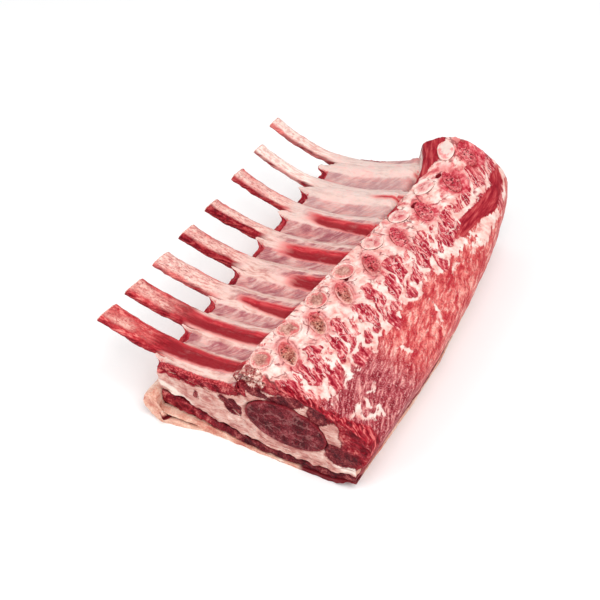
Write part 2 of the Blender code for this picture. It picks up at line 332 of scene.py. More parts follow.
def build(name, points, faces, materials, tags):
    """A mesh object from points in mm, with outward normals and a material index per face."""
    mesh = bpy.data.meshes.new(name)
    mesh.from_pydata((np.asarray(points) + SHIFT) * MM, [], faces)
    for material in materials:
        mesh.materials.append(material)
    mesh.polygons.foreach_set("material_index", np.asarray(tags, np.int32))
    bm = bmesh.new()
    bm.from_mesh(mesh)
    bmesh.ops.recalc_face_normals(bm, faces=bm.faces)
    bm.to_mesh(mesh)
    bm.free()
    mesh.shade_smooth()
    mesh.set_sharp_from_angle(angle=math.radians(50))
    made = bpy.data.objects.new(name, mesh)
    bpy.context.scene.collection.objects.link(made)
    return made


def swollen(made, points, out):
    """The points, each moved out along its normal by so many mm."""
    facing = np.zeros(len(points) * 3, np.float32)
    made.data.vertex_normals.foreach_get("vector", facing)
    return points + facing.reshape(-1, 3).astype(float) * out[:, None]


def reshape(made, points):
    made.data.vertices.foreach_set("co", ((points + SHIFT) * MM).astype(np.float32).ravel())
    made.data.update()


def paint(made, **fields):
    """Smooth per-vertex fields for the materials to read; a tuple of three becomes a vector."""
    for name, values in fields.items():
        if isinstance(values, tuple):
            layer = made.data.attributes.new(name, "FLOAT_VECTOR", "POINT")
            layer.data.foreach_set("vector", np.stack(values, 1).astype(np.float32).ravel())
        else:
            layer = made.data.attributes.new(name, "FLOAT", "POINT")
            layer.data.foreach_set("value", np.asarray(values, np.float32))


def block(name, counts, steps, shape, materials, tag_of):
    """Closed skin of a box lattice, shaped by shape(a, u, v); returns it, its points, a, u and v."""
    faces, sides = [], []
    for side in SIDES:
        made = side_faces(counts, side, steps.get(side, (1, 1)))
        faces += made
        sides += [side] * len(made)
    used, inverse = np.unique(np.concatenate([np.array(f) for f in faces]), return_inverse=True)
    stops = np.cumsum([len(f) for f in faces])[:-1]
    faces = [part.tolist() for part in np.split(inverse.ravel(), stops)]
    lattice = np.unravel_index(used, [count + 1 for count in counts])
    a, u, v = (at / count for at, count in zip(lattice, counts))
    points = shape(a, u, v)
    tags = [tag_of(side, u[face].mean()) for side, face in zip(sides, faces)]
    return build(name, points, faces, materials, tags), points, a, u, v


def tube(name, rings, start_cap, end_cap, materials, tags=(0, 0, 0)):
    """Closed tube through rings (count, sides, 3); returns it, its points and each point's row.

    A cap is a list of (size, lift): each ring drawn in towards the middle, moved along the axis.
    Rows count from the first of the rings, so the start cap's are negative. Tags are the material
    of the start cap, the sides and the end cap.
    """
    rings = np.asarray(rings)
    count, sides = rings.shape[:2]

    def drawn_in(cap, ring, beside):
        middle = ring.mean(0)
        away = middle - beside.mean(0)
        away = away / np.linalg.norm(away)
        return [middle + (ring - middle) * size + away * lift for size, lift in cap]

    rows = drawn_in(start_cap, rings[0], rings[1])[::-1] + list(rings)
    rows += drawn_in(end_cap, rings[-1], rings[-2])
    points = np.concatenate(rows + [rows[0].mean(0)[None], rows[-1].mean(0)[None]])
    faces, kinds = [], []
    total, start = len(rows), len(start_cap)
    for r in range(total - 1):
        kinds += [tags[0] if r < start else tags[2] if r >= start + count - 1 else tags[1]] * sides
        for s in range(sides):
            t = (s + 1) % sides
            faces.append((r * sides + s, r * sides + t, (r + 1) * sides + t, (r + 1) * sides + s))
    last = (total - 1) * sides
    for s in range(sides):
        t = (s + 1) % sides
        faces += [(s, t, total * sides), (last + s, last + t, total * sides + 1)]
        kinds += [tags[0], tags[2]]
    row = np.concatenate((np.repeat(np.arange(total), sides), [0, total - 1])) - start
    return build(name, points, faces, materials, kinds), points, row


def place(made, node):
    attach(made, "root")
    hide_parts(node)


# --- What the surfaces show, as fields over them -------------------------------------------------
# Patches of each kind: along X, across from the sawn edge, half sizes, tilt.
FACE_FAT = (
    (-90, 14, 12, 4.5, -8), (-93, 38, 4, 4.5, 0), (-82, 49.5, 12, 1.2, -4), (-66, 42, 9, 2.0, -35),
    (-52, 46, 11, 2.8, -12), (-40, 40, 9, 2.8, -48), (-44, 62.5, 1.6, 4.5, -20), (-12, 61, 7, 1.2, -45),
    (-95, 63, 6, 1.2, -8), (-75, 66, 5, 1.5, -30), (-84, 66, 1.6, 3.6, 20),
    (-9, 40, 11, 2.4, -28), (24, 37, 8, 2.6, -6), (42, 46.5, 10, 2.6, -6), (22, 54, 9, 0.9, -6),
    (74, 51.5, 33, 3.6, -3), (87, 29, 5, 8, 12), (93, 13, 6, 6, 0), (60, 20, 6, 8, 20),
)
VESSELS = (
    (54, 11, 3.0, 2.0), (79, 12.5, 2.4, 1.8), (-18, 11, 1.5, 1.1), (28, 13, 1.4, 1.0), (-47, 12, 1.2, 0.9),
)
SPONGE = ((98, 28, 7.5, 10, -12), (76.5, 23.5, 9, 8), (50, 21, 7, 6.5))
# Muscle wedges beside each arch, from the wedges' own middle; towards the loin only the first two.
LOBES = ((1, -1, 13.5, 5.2, -50), (-9, 1.5, 11.5, 4.2, -60), (-3, 12, 9, 3.8, -36), (8, 8, 7.5, 3.2, -30))
# On a cut end: along Y, up, half sizes, tilt.
TOP_MEAT = ((-19.5, 51, 12, 3.9, -14), (-38.5, 49, 6, 6.6))
SMALL_MEAT = ((13.5, 30.5, 4.8, 6.2, -20), (19.5, 34.5, 3.8, 2.4, 20), (37.5, 30, 1.1, 3.6))
WHITE_FAT = ((51, 24.5, 12, 3.6, 24), (-57, 17.2, 9, 2.4), (24, 46, 12, 2.2, -4))


def chine_fields(x, d):
    """On the sawn face (+ inside, mm): fat, muscle wedges, clean meat and vessels."""
    wx, wd = wavy(x, x, d, 11), wavy(d, x, d, 23)
    band = np.minimum((wd + 4) * 0.35, (along(ROW_TWO, x) + 9.0 - wd) * 0.6)
    band = band - 1.6 * smooth(flat_noise(x, d, 6, 27), -0.1, 0.7) * smooth(d, 12, 4)
    swirl = 1.3 - np.abs(oval(wx, wd, -86, 67, 9, 4.6, 10)) - 2 * smooth(flat_noise(x, d, 7, 33), 0.1, 0.5)
    fat = union(band, swirl, ovals(wx, wd, FACE_FAT))
    wedges = walls = OUTSIDE + 0 * x
    for i in range(RIBS):
        middle_x = min(rib_x(i) + ARCH_OFFSET, LOIN - 9) + 1.5 - 2 * (i % 2)
        middle_d = float(along(ROW_TWO, middle_x)) + 15.5 + (i % 3)
        for dx, dd, *size_and_tilt in LOBES[:2] if i > 4 else LOBES:
            inside = oval(wx, wd, middle_x + dx, middle_d + dd, *size_and_tilt)
            walls = np.maximum(np.minimum(walls, -inside), 0.9 - np.abs(inside + 0.5))
            wedges = np.maximum(wedges, inside)
    wedges = union(wedges, oval(wx, wd, -101, 26, 5, 6))
    rim = walls - 1.3 * smooth(flat_noise(x, d, 9, 29), 0.2, 0.7)
    fat = np.where(wedges > 0, np.minimum(fat, -4), fat)
    white_line = oval(x, wd, 71, 38.4, 34, 1.2, 1.5)
    fat = union(fat, np.where(d < 50, 1.6 * rim, OUTSIDE), white_line)
    loin_top, sawn_edge = oval(wx, wd, 107, -1, 26, 16), np.minimum(2.6 - wd, wx - 42)
    clean = union(loin_top, sawn_edge, oval(x, wd, 72.5, 44.8, 31, 4.8, 1.5))
    return np.where(clean > 0, -4, fat), wedges, clean, ovals(x, d, VESSELS)


def bone_fields(x, d):
    """On the sawn face (+ inside, mm): cut rib heads, cut arches and red spongy bone."""
    heads = arches = OUTSIDE + 0 * x
    for i in range(RIBS):
        head_d, arch_d = float(along(ROW_ONE, rib_x(i))), float(along(ROW_TWO, arch_x(i)))
        head = oval(x, d, rib_x(i) + HEAD_LEAN[i], head_d, HEAD_WIDE / 2 + 0.8, 6.1)
        arch = oval(x, d, arch_x(i), arch_d, ARCH_WIDE / 2, ARCH_HIGH / 2, ARCH_TILT)
        heads, arches = np.maximum(heads, head), np.maximum(arches, arch)
    return heads, arches, ovals(x, d, SPONGE)


# Red band on each rib under the membrane: middle at the backbone, middle at the gap, half widths
# at both, and the distances from the edge over which it fades.
BANDS = (
    (-92.0, -92.5, 4.0, 6.0, 200, 220), (-68.5, -69.0, 4.8, 4.6, 200, 220), (-45.5, -42.5, 4.6, 1.6, 40, 50),
    (-18.5, -18.5, 5.2, 2.5, 20, 32), (6.0, 5.0, 4.6, 3.6, 36, 52), (33.0, 38.0, 3.8, 3.0, 34, 50),
    (63.0, 65.5, 1.2, 0.6, 8, 20), (88.0, 90.0, 0.5, 0.5, 1, 2),
)


def rib_fields(x, y):
    """Over the inside of the cage, 0 to 1: rib ridge, red band, pale membrane, and painted shade on the
    band's shoulder-side edge.
    """
    ridge = red = pale = dark = 0 * x
    t = np.clip((y - 5) / 50, 0, 1)
    for i in range(RIBS):
        half = RIB_WIDTH[i] / 2
        off = x - (rib_x(i) + rib_lean(i, y)[0])
        ridge = np.maximum(ridge, 1 / (1 + np.abs(off / (half + 1.8)) ** 4))
        start, stop, wide_start, wide_stop, fade_from, fade_to = BANDS[i]
        wide = wide_start + (wide_stop - wide_start) * t
        from_middle = x - (start + (stop - start) * t)
        strength = 1 - smooth(y, fade_from, fade_to)
        red = np.maximum(red, smooth(wide + 1.4 - np.abs(from_middle), 0, 2.8) * strength)
        # Painted shade: a darker strip set towards the shoulder (-X) side of each band, where the rib turns
        # from the light.
        dark = np.maximum(dark, smooth(wide + 0.5 - np.abs(from_middle + 1.8), -0.5, 3.5) * strength)
        if i < 6:
            flank = smooth(3.6 - np.abs(np.abs(off + 0.5) - half - 0.2), 0, 2.4)
            body = smooth(half + 2.5 - np.abs(off), 0, 3) * smooth(y, 15 if i == 3 else 35, 60)
            pale = union(pale, 0.9 * flank, body * (i > 1))
        else:
            pale = np.maximum(pale, smooth(9.5 - np.abs(off - (1.5 if i == 7 else 0)), 0, 3.5))
    return ridge, red, pale, dark


def end_fields(x, y, z):
    """Over the cut end at x: muscle (+ inside, mm), how red it is, and how white the fat is."""
    eye = eye_oval(x, y, z)
    if x == LOIN:
        y, z = (y - 3) * 1.06, z - 1.5
    wy = y + 1.3 * flat_noise(y, z, 6, 31)
    wz = z + 1.3 * flat_noise(y, z, 6, 37)
    upper = ovals(wy, wz, TOP_MEAT)
    shreds = oval(wy, wz, -1, 51.2, 10, 3.8, 6)
    top_z = np.interp(y, (-66.7, -60, -44, -30, -15, 5), (44, 48.2, 53.8, 56, 58.1, 66.8))
    thick = np.interp(y, (-66, -55, -47, -40, -30, -18, -8, 4), (30, 14, 7, 3.5, 1.8, 3.0, 7, 14))
    roof = np.minimum(wz - top_z + thick, 9 - wy)
    corner = np.minimum(-51.5 - wy + (wz - 36) * 0.14, wz - 18)
    lower = oval(wy, wz, -52, 24.5, 12, 7.2)
    wedge = oval(wy, wz, -46.3, 39.5, 4.8, 9.0, 12)
    strip = np.minimum(wy - 4, np.minimum(wz - (36.8 + 6.5 * smooth(-wy, -24, -6)), 64 - wy))
    meat = union(eye, upper, shreds, corner, lower, strip, ovals(wy, wz, SMALL_MEAT), roof)
    bright = smooth(roof, -1, 1.5) * (upper < 0)
    bright = union(smooth(strip, -1, 1), smooth(corner, -1, 3) * 0.8, bright)
    bright = bright * (1 - 0.6 * smooth(shreds, -1, 1.5))
    bright = bright * smooth(-lower, -3, 1)
    return np.minimum(meat, -wedge), bright, smooth(ovals(wy, wz, WHITE_FAT), -1, 1)


# --- Flesh --------------------------------------------------------------------------------------
# Where the top of the flesh changes, as u from the back wall to the gaps between the bare ribs.
U_FILLET, U_FACE, U_STEP = 0.02, 0.56, 0.61
V_FILLET = 0.9  # where the back wall rounds over, as v from its foot to its top


def gap_edge(x):
    """How far towards the tips the flesh reaches at x: further beside each rib's shoulder-side flank."""
    reach = FRENCH_Y - 1.5 + 1.2 * noise(x, 0 * x, 0 * x, 7, seed=3)
    for i in range(RIBS):
        half = RIB_WIDTH[i] / 2
        off = x - rib_x(i) - TIP_LEAN[i] * 0.2
        left = np.exp(-np.abs((off + half) / 3.4) ** 2)
        right = np.exp(-np.abs((off - half) / 1.8) ** 2)
        reach = np.maximum(reach, FRENCH_Y + 9.5 * left) + 1.5 * right
    return reach


def top_outline(x, u):
    """(y, z, distance across the face) over the fillet, the sawn face, the step and the cage."""
    ey, ez = edge_at(x)
    corner = fillet(x, 0.5 + 0.5 * np.clip(u / U_FILLET, 0, 1))
    v = face_end(x) * (1 - np.clip((u - U_FILLET) / (U_FACE - U_FILLET), 0, 1))
    face = face_point(x, v)
    s = np.clip((u - U_FACE) / (U_STEP - U_FACE), 0, 1)
    step = (ey + STEP_RUN * s, ez - STEP_DROP * s)
    trough_y = ey + STEP_RUN
    t = np.clip((u - U_STEP) / (1 - U_STEP), 0, 1)
    y = trough_y + (gap_edge(x) - trough_y) * t
    low = rib_height(x, y) - RIB_PROUD
    cage = (y, low + (ez - STEP_DROP - low) * (1 - smooth(y - trough_y, 0, 6)))
    pick = [u < U_FILLET, u <= U_FACE, u < U_STEP]
    out_y, out_z = (np.select(pick, (corner[k], face[k], step[k]), cage[k]) for k in (0, 1))
    return out_y, out_z, v * face_length(x)


def lean_shape(a, u, v):
    x = SHOULDER + LENGTH * a
    ty, tz, _ = top_outline(x, u)
    left_y, left_z, _ = top_outline(x, 0 * u)
    right_y, _, _ = top_outline(x, 0 * u + 1)
    foot = along(WALL_FOOT_Y, x)
    by = foot + (LAYER_LEFT_Y - foot) * (ty - left_y) / (right_y - left_y)
    bz, foot_z = seam(SEAM, x, by), seam(SEAM, x, foot)
    top_y, top_z = wall_top(x)
    bend = ((foot + top_y) / 2 - WALL_BULGE, (foot_z + top_z) / 2)
    wall = curve3((foot, foot_z), bend, (top_y, top_z), np.clip(v / V_FILLET, 0, 1))
    corner = fillet(x, np.clip((v - V_FILLET) / 0.1, 0, 1) * 0.5)
    side_y, side_z = (np.where(v < V_FILLET, wall[k], corner[k]) for k in (0, 1))
    fade = (1 - u) ** 6
    y = (1 - v) * by + v * ty + (side_y - (1 - v) * foot - v * left_y) * fade
    z = (1 - v) * bz + v * tz + (side_z - (1 - v) * foot_z - v * left_z) * fade
    return np.stack((end_cut(x, y), y, z), 1)


def lean_tag(side, u):
    """Materials of the flesh: sawn face, membrane, cut end, ragged meat."""
    if side == "top":
        return 0 if u < U_FACE + 0.004 else 1
    return {"near": 2, "far": 2, "back": 0, "ribs": 3, "bottom": 3}[side]


def layer_tag(side, u):
    """Materials of a layer: cut end, sides."""
    return 0 if side in ("near", "far") else 1


def cage_relief(x, y, z, u, ridge, lip):
    """How far the inside of the cage stands out: ribs, hollows between, ragged hem and lip."""
    under = smooth(y, FRENCH_Y - 9, FRENCH_Y - 1)
    past_step = smooth(u, U_FACE + 0.01, U_STEP + 0.015)
    out = ridge * (RIB_PROUD + 0.4 - 1.6 * under) * past_step + 0.25 * flat_noise(x, y, 4, 9)
    out -= 0.7 * (1 - ridge) * smooth(y, 18, 35) * (1 - smooth(y, 45, 54))
    hem = smooth(-x, 98.5, 104) * smooth(y, 10, 18)
    out += hem * (1.6 + 0.9 * flat_noise(x, y, 3, 10, octaves=3))
    out += lip * 0.5 * noise(x, y, z, 1.6, seed=12) - 0.5 * lip
    return out


def make_lean(materials):
    made, points, a, u, v = block(
        "rack_flesh", (300, 190, 58), {"back": (2, 2), "ribs": (1, 8), "bottom": (6, 6)},
        lean_shape, materials, lean_tag)
    x = SHOULDER + LENGTH * a
    _, y, z = points.T
    near, far = a < TINY, a > 1 - TINY
    top, ends = v > 0.999, near | far
    on_face, on_cage = top & (u <= U_FACE), top & (u > U_FACE)
    _, _, d = top_outline(x, np.minimum(u, U_FACE))
    down_wall = 40 * np.clip(1 - v, 0, 0.1) + 31 * np.clip(0.9 - v, 0, 1)
    d = d + 4 * (1 - np.clip(u / U_FILLET, 0, 1)) + (u < TINY) * down_wall
    fat, wedges, clean, vessels = chine_fields(x, d)
    heads, arches, sponge = bone_fields(x, d)
    ridge, red, pale, dark = rib_fields(x, y)
    corner = smooth(oval(x, d, -107, 5, 11, 9), -1.5, 1.5)
    splinters = noise(x, y, z, 2.2, seed=17)

    face_out = 0.5 * smooth(fat, -0.6, 1.2) + 0.35 * flat_noise(x, d, 3.0, 5, octaves=3)
    face_out = face_out + 0.4 * flat_noise(x, d, 12, 8)
    face_out += 0.6 * smooth(clean, -1, 2) - 1.5 * smooth(vessels, -0.4, 0.9)
    bones = union(heads, arches)
    sunk = smooth(bones, 0.1, 0.9)
    face_out = face_out * (1 - sunk) - 1.6 * sunk
    face_out -= corner * (0.8 + 1.3 * splinters)
    face_out *= smooth(d, 0, 1.2) * 0.8 + 0.2
    lip = smooth(y, FRENCH_Y - 3, FRENCH_Y + 2)

    rough = noise(x, y, z, 3.2, seed=14, octaves=3)
    at_ends = zip(end_fields(LOIN, y, z), end_fields(SHOULDER, y, z))
    muscle, bright, white = (np.where(a > 0.5, at_loin, at_shoulder) for at_loin, at_shoulder in at_ends)
    end_out = 0.45 * rough - 0.5 * smooth(muscle, -0.8, 0.6) + 0.5 * bright * noise(x, y, z, 1.8, seed=15)
    end_out -= 0.35 * (1 - smooth(np.abs(muscle), 0, 0.9))
    broken = smooth(oval(y, z, 0, 60, 9, 8), -1.5, 2)
    end_out -= np.where(near, broken * (2.2 + 1.8 * splinters), 0)
    end_out -= 1.1 * smooth(eye_oval(x, y, z), -0.5, 0.8)

    out = np.where(on_face, face_out, 0)
    out = np.where(on_cage, cage_relief(x, y, z, u, ridge, lip), out)
    out = np.where(ends, end_out, out)
    out = np.where((u < TINY) & ~ends, 0.5 * noise(x, y, z, 9, seed=19) + 0.2 * rough, out)
    out = np.where((u > 1 - TINY) & ~ends, 0.9 * noise(x, y, z, 2.5, seed=21, octaves=3), out)
    reshape(made, swollen(made, points, out))
    bled = -x + 1.5 * flat_noise(d, d, 6, 26) + 5 * smooth(d, 55, 75)
    paint(made, chart=(x, d, 0 * x), fat=fat, wedges=wedges, clean=clean, vessels=vessels,
          bones=bones, arches=arches, sponge=sponge, red=red, pale=pale, dark=dark,
          muscle=muscle, bright=bright, white=white, lip=lip * (1 - ridge),
          hem=smooth(-x, 101.5, 104.5) * smooth(y, 8, 14), blood=smooth(bled, 98.5, 102.5) * smooth(d, 9, 16),
          broken=np.where(near, broken, np.where(on_face, corner, 0)))
    place(made, "lean_body")


def make_layer(name, node, low, high, materials, counts, raise_ends):
    """Seam fat or cap muscle: a sheet between two seams (tables, gap), its ends and sides worked."""
    def shape(a, u, v):
        x = SHOULDER + LENGTH * a
        foot = along(WALL_FOOT_Y, x)
        y = foot + (LAYER_LEFT_Y - foot) * u
        z = (seam(low[0], x, y) + low[1]) * (1 - v) + (seam(high[0], x, y) + high[1]) * v
        return np.stack((end_cut(x, y), y, z), 1)

    made, points, a, u, v = block(
        name, counts, {"bottom": (6, 6), "top": (6, 6)}, shape, materials, layer_tag)
    x = SHOULDER + LENGTH * a
    _, y, z = points.T
    ends = (a < TINY) | (a > 1 - TINY)
    sides = ((u < TINY) | (u > 1 - TINY)) & ~ends
    rim = 1 - smooth(np.minimum(v, 1 - v), 0, 0.16)
    out = (0.8 * noise(x, y, z, 3.5, seed=41, octaves=3) + raise_ends) * ends
    out -= rim * ends * (0.9 + 0.8 * noise(x, y, z, 5, seed=43))
    out += sides * (0.7 * noise(x, y, z, 3.5, seed=45, octaves=3) - 0.6 * rim)
    reshape(made, swollen(made, points, out))
    if node == "cap_muscle":
        muscle, white = 3 + 0 * x, 0 * x
        # The cap muscle's cut end is held to the dark ramp along its top and bottom edges: painted shade
        # where it meets the layers around it.
        bright = smooth(y, 8, 34) * (1 - rim) * 0.8
    else:
        muscle, _, white = end_fields(SHOULDER, y, z)
        muscle = np.where(y > 2, muscle, -3)
        bright = smooth(y, 6, 10) * smooth(z, 35, 37)
    paint(made, muscle=muscle, bright=bright, white=white, broken=0 * x)
    place(made, node)


U_ROLL = 0.86  # where the outer fat rolls up past the other layers, as u from the back to the ribs


def fat_shape(a, u, v):
    """The outer fat: flat below, rolled up past the other layers at the rib side."""
    x = SHOULDER + LENGTH * a
    foot = along(WALL_FOOT_Y, x)
    ty = foot + (LAYER_LEFT_Y - foot) * np.clip(u / U_ROLL, 0, 1)
    tz = seam(CAP_LOW, x, ty)
    rolled, stages = np.clip((u - U_ROLL) / 0.14, 0, 1), (0, 0.35, 0.6, 1)
    roll_y = np.interp(rolled, stages, (LAYER_LEFT_Y, LAYER_LEFT_Y + 0.6, 64.5, 68.3))
    roll_z = np.interp(rolled, stages, (0, 0.82, 1.0, 0.80))
    top_z = np.where(u > U_ROLL, tz + (FAT_ROLL_Z - tz) * roll_z, tz)
    ty = np.where(u > U_ROLL, roll_y, ty)
    by = foot + (67.0 - foot) * u
    under = along(FAT_EDGE_LIFT, x) * (1 - smooth(by - foot, 0, 17)) + 3.2 * smooth(by, 60, 67) ** 2
    y = by * (1 - v) + ty * v
    z = under * (1 - v) + top_z * v
    y = y + 3.6 * np.sin(math.pi * v) * smooth(u, U_ROLL, 1)
    flap = FLAP * (1 - share(x)) ** 8 * smooth(y, *FLAP_Y)
    return np.stack((end_cut(x - flap, y), y, z), 1)


def make_fat(materials):
    made, points, a, u, v = block(
        "outer_fat", (150, 150, 22), {"top": (5, 1)}, fat_shape, materials, lambda side, u: 0)
    x = SHOULDER + LENGTH * a
    _, y, z = points.T
    groove = 1 - smooth(np.abs(z - np.interp(y, (36, 60), (1.5, 8.0))), 0.3, 2.0)
    groove *= smooth(y, 36, 42) * (1 - smooth(y, 57, 61))
    ends_out = 0.6 * noise(x, y, z, 5, seed=51, octaves=3) - 3.6 * groove
    body = 0.8 * noise(x, y, z, 14, seed=53, octaves=3)
    out = np.where((v < TINY) | (u > 0.95), np.minimum(body, 0.9), 0.3 * body)
    out = np.where((a < TINY) | (a > 1 - TINY), ends_out, out)
    moved = swollen(made, points, out)
    moved[:, 2] = np.maximum(moved[:, 2], 0.0)
    resting = (v < TINY) & (u > 0.2) & (u < 0.88)
    ripples = np.maximum(0.25 * (1 + flat_noise(x, y, 10, 55)) - 0.2, 0)
    moved[:, 2] = np.where(resting, ripples, moved[:, 2])
    reshape(made, moved)
    bare_end = 3 * smooth(-y, 18, 32) * smooth(-x, 90, 103)
    # Dark red in the groove on the cut ends is painted shade; bare_end is the muscle showing at the shoulder
    # end's back corner.
    paint(made, muscle=np.maximum(3 * groove, bare_end) - 2)
    place(made, "fat_cap")


def make_eye(materials):
    turn = turns(96)
    rings = []
    for x in np.linspace(SHOULDER - 0.1, LOIN + 0.1, 24):
        wide, high = along(EYE_WIDE, x) - 0.5, along(EYE_HIGH, x) - 0.5
        y, z = along(EYE_Y, x) + wide * np.cos(turn), along(EYE_Z, x) + high * np.sin(turn)
        rings.append(np.stack((end_cut(x, y), y, z), 1))
    cap = [(size, 0.35 * (1 - size**6)) for size in np.linspace(0.985, 0.02, 34)]
    made, points, _ = tube("loin_eye", rings, cap, cap, materials)
    x, y, z = points.T
    ends = (x < SHOULDER + 0.2) | (x > LOIN - 15)
    moved = points.copy()
    moved[:, 0] += np.where(ends, np.sign(x) * 0.3 * noise(x, y, z, 5, seed=61, octaves=3), 0)
    reshape(made, moved)
    paint(made, rim=eye_oval(x, y, z))
    place(made, "eye_muscle")


# --- Bones --------------------------------------------------------------------------------------
OUTER_RINGS, CAGE_RINGS, HEAD_RINGS = 84, 14, 10
HEAD_FROM = OUTER_RINGS + CAGE_RINGS
TIP_CAP = [
    (0.97, 0.35), (0.92, 0.5), (0.84, 0.42), (0.74, 0.3), (0.6, 0.25), (0.45, 0.2), (0.3, 0.2), (0.14, 0.2),
]


def rib_rings(index, turn):
    """Dense rings from the tip to the cut head; also each side's place across and up, and the way out."""
    x = rib_x(index)
    half_wide, half_thick = RIB_WIDTH[index] / 2, RIB_THICK[index] / 2
    at_head, head_d = x + HEAD_LEAN[index], along(ROW_ONE, x)
    head, out = (np.array([float(value) for value in pair]) for pair in face_at(at_head, head_d))
    slope = (np.array(face_at(at_head + 1, head_d)[0]) - face_at(at_head - 1, head_d)[0]) / 2
    tip = TIP_Y + TIP_EXTRA[index]
    outer = np.linspace(tip, FRENCH_Y - 8, OUTER_RINGS)
    caged = np.linspace(FRENCH_Y - 9, float(turn_y(index)), CAGE_RINGS)
    centres, wides, thicks = [], [], []
    for y in np.concatenate((outer, caged)):
        lean, outward = rib_lean(index, y)
        centres.append((x + lean, y, float(rib_height(x, y)) - half_thick))
        wides.append(half_wide * (1 + TIP_FLARE * outward))
        thicks.append(half_thick)
    start = np.array(centres[-1][1:])
    bend = head - out * (head[1] - start[1] - 1.0) / out[1]
    for t in np.linspace(0.1, 1, HEAD_RINGS):
        point = (1 - t) ** 2 * start + 2 * t * (1 - t) * bend + t * t * head
        centres.append((x + HEAD_LEAN[index] * t, *point))
        wides.append(half_wide + (HEAD_WIDE / 2 + 0.6 - half_wide) * t)
        thicks.append(half_thick + (HEAD_HIGH / 2 + 1.9 - half_thick) * t)
    runs = np.gradient(np.array(centres), axis=0)
    runs[-1] = (0, *out)
    across, upward = (np.sign(wave) * np.abs(wave) ** 0.62 for wave in (np.cos(turn), np.sin(turn)))
    rings = []
    for i, (centre, run) in enumerate(zip(np.array(centres), runs)):
        run = run / np.linalg.norm(run)
        side = np.cross(run, (1, 0, 0))
        side /= np.linalg.norm(side)
        square = smooth(i, HEAD_FROM + 6, HEAD_FROM - 2)
        ca = np.cos(turn) * (1 - square) + across * square
        ua = np.sin(turn) * (1 - square) + upward * square
        skew = -TIP_SKEW * smooth(i, 8, 0)
        on_face = smooth(i, HEAD_FROM - 1, HEAD_FROM + 8)
        widthways = (1, skew + on_face * slope[0], on_face * slope[1])
        offset = np.outer(ca * wides[i], widthways) + np.outer(ua * thicks[i], side)
        rings.append(centre + offset)
    return np.array(rings), across, upward, out


def make_rib(index, materials):
    rings, across, upward, out_way = rib_rings(index, turns(44))
    head_cap = [(size, 0.1 + 0.35 * (1 - size**4)) for size in np.linspace(0.96, 0.06, 13)]
    made, points, row = tube(f"rib_bone_{index + 1}", rings, TIP_CAP, head_cap, materials, (1, 0, 2))
    total = len(TIP_CAP) + len(rings) + len(head_cap)
    across, upward = (np.concatenate((np.tile(values, total), [0, 0])) for values in (across, upward))
    x, y, z = points.T
    bare = smooth(y, FRENCH_Y - 6, FRENCH_Y + 4) * (row < HEAD_FROM + 2)
    fringe = smooth(-upward, 0.2, 0.9)
    left = smooth(-across, 0.55, 0.95)
    out = bare * 0.28 * noise(x * 2.5, y * 0.5, z * 2.5, 3.0, seed=70 + index, octaves=3)
    out += bare * (fringe * 0.5 + left * 0.25) * noise(x, y, z, 6.5, seed=90 + index, octaves=3)
    caps = (row < 0) | (row >= len(rings))
    out = np.where(caps, 0.22 * noise(x, y, z, 1.4, seed=110 + index), out)
    web = np.exp(-np.abs((y - FRENCH_Y - 3) / 6) ** 2) * fringe * (row < HEAD_FROM + 2)
    moved = swollen(made, points, out + web * 1.6)
    waver = 0.5 * noise(0 * y, y, 0 * y, 16, seed=130 + index)
    moved[:, 0] += np.where(row < OUTER_RINGS, waver * bare, 0)
    reshape(made, moved)
    down, centre = np.cross((0, *out_way), (1, 0, 0)), rings[-1].mean(0)
    below = (moved - centre) @ (down * np.sign(-down[1])) / 5 + 0.12 * (x - centre[0])
    _, red, pale, dark = rib_fields(x, y)
    paint(made, across=across, up=upward, span=y, red=red, pale=pale, dark=dark,
          below=np.where(row >= len(rings) - 1, below, 0),
          depth=np.clip((row - len(rings)) / len(head_cap), 0, 1))
    place(made, f"rib_{index + 1}")


def make_arch(index, materials):
    """A cut vertebral arch: an oval plug whose porous face lies flush with the sawn face."""
    x = arch_x(index)
    (cy, cz), (oy, oz) = face_at(x, along(ROW_TWO, x))
    centre, out = np.array((x, float(cy), float(cz))), np.array((0.0, float(oy), float(oz)))
    down = np.cross(out, (1, 0, 0))
    if down[1] > 0:
        down = -down
    turn = turns(56)
    c, s = math.cos(math.radians(ARCH_TILT)), math.sin(math.radians(ARCH_TILT))
    wide, high = ARCH_WIDE / 2 - 0.5, ARCH_HIGH / 2 - 0.4
    ragged = 1 + 0.10 * noise(np.cos(turn) * 2, np.sin(turn) * 2, 0 * turn + index, 0.9, seed=140)
    p, q = wide * np.cos(turn) * ragged, high * np.sin(turn) * ragged
    flat = np.outer(p * c - q * s, (1, 0, 0)) + np.outer(p * s + q * c, down)
    levels = ((-ARCH_DEEP, 0.8), (-1.5, 1.0), (-0.25, 1.0))
    rings = [centre + flat * size + out * rise for rise, size in levels]
    face_cap = [(size, 0.12 + 0.25 * (1 - size**3)) for size in np.linspace(0.975, 0.05, 18)]
    foot_cap = [(size, 0.1) for size in (0.8, 0.5, 0.2)]
    made, points, row = tube(f"arch_bone_{index + 1}", rings, foot_cap, face_cap, materials)
    face = row >= 2
    px, py, pz = points.T
    depth = (row - 2) / len(face_cap)
    pits = smooth(noise(px, py, pz, 1.0, seed=150 + index, octaves=1), 0.25, 0.85)
    pits *= smooth(depth, 0.08, 0.3) * face
    bumps = 0.15 * noise(px, py, pz, 2.5, seed=160) * face
    moved = points - out * (pits * 0.9)[:, None] + out * bumps[:, None]
    reshape(made, moved)
    along_it = (px - x) * c + ((moved - centre) @ down) * s
    paint(made, pits=pits, depth=np.clip(depth, 0, 1), lengthwise=along_it / wide)
    place(made, f"vertebra_{index + 1}")


# --- Material makers ----------------------------------------------------------------------------
STUDIO = 0.95  # the lights are bright enough to whiten the floor; colours are set down to suit
MIX_A, MIX_B, MIX_RESULT = 6, 7, 2  # the colour sockets of a Mix node


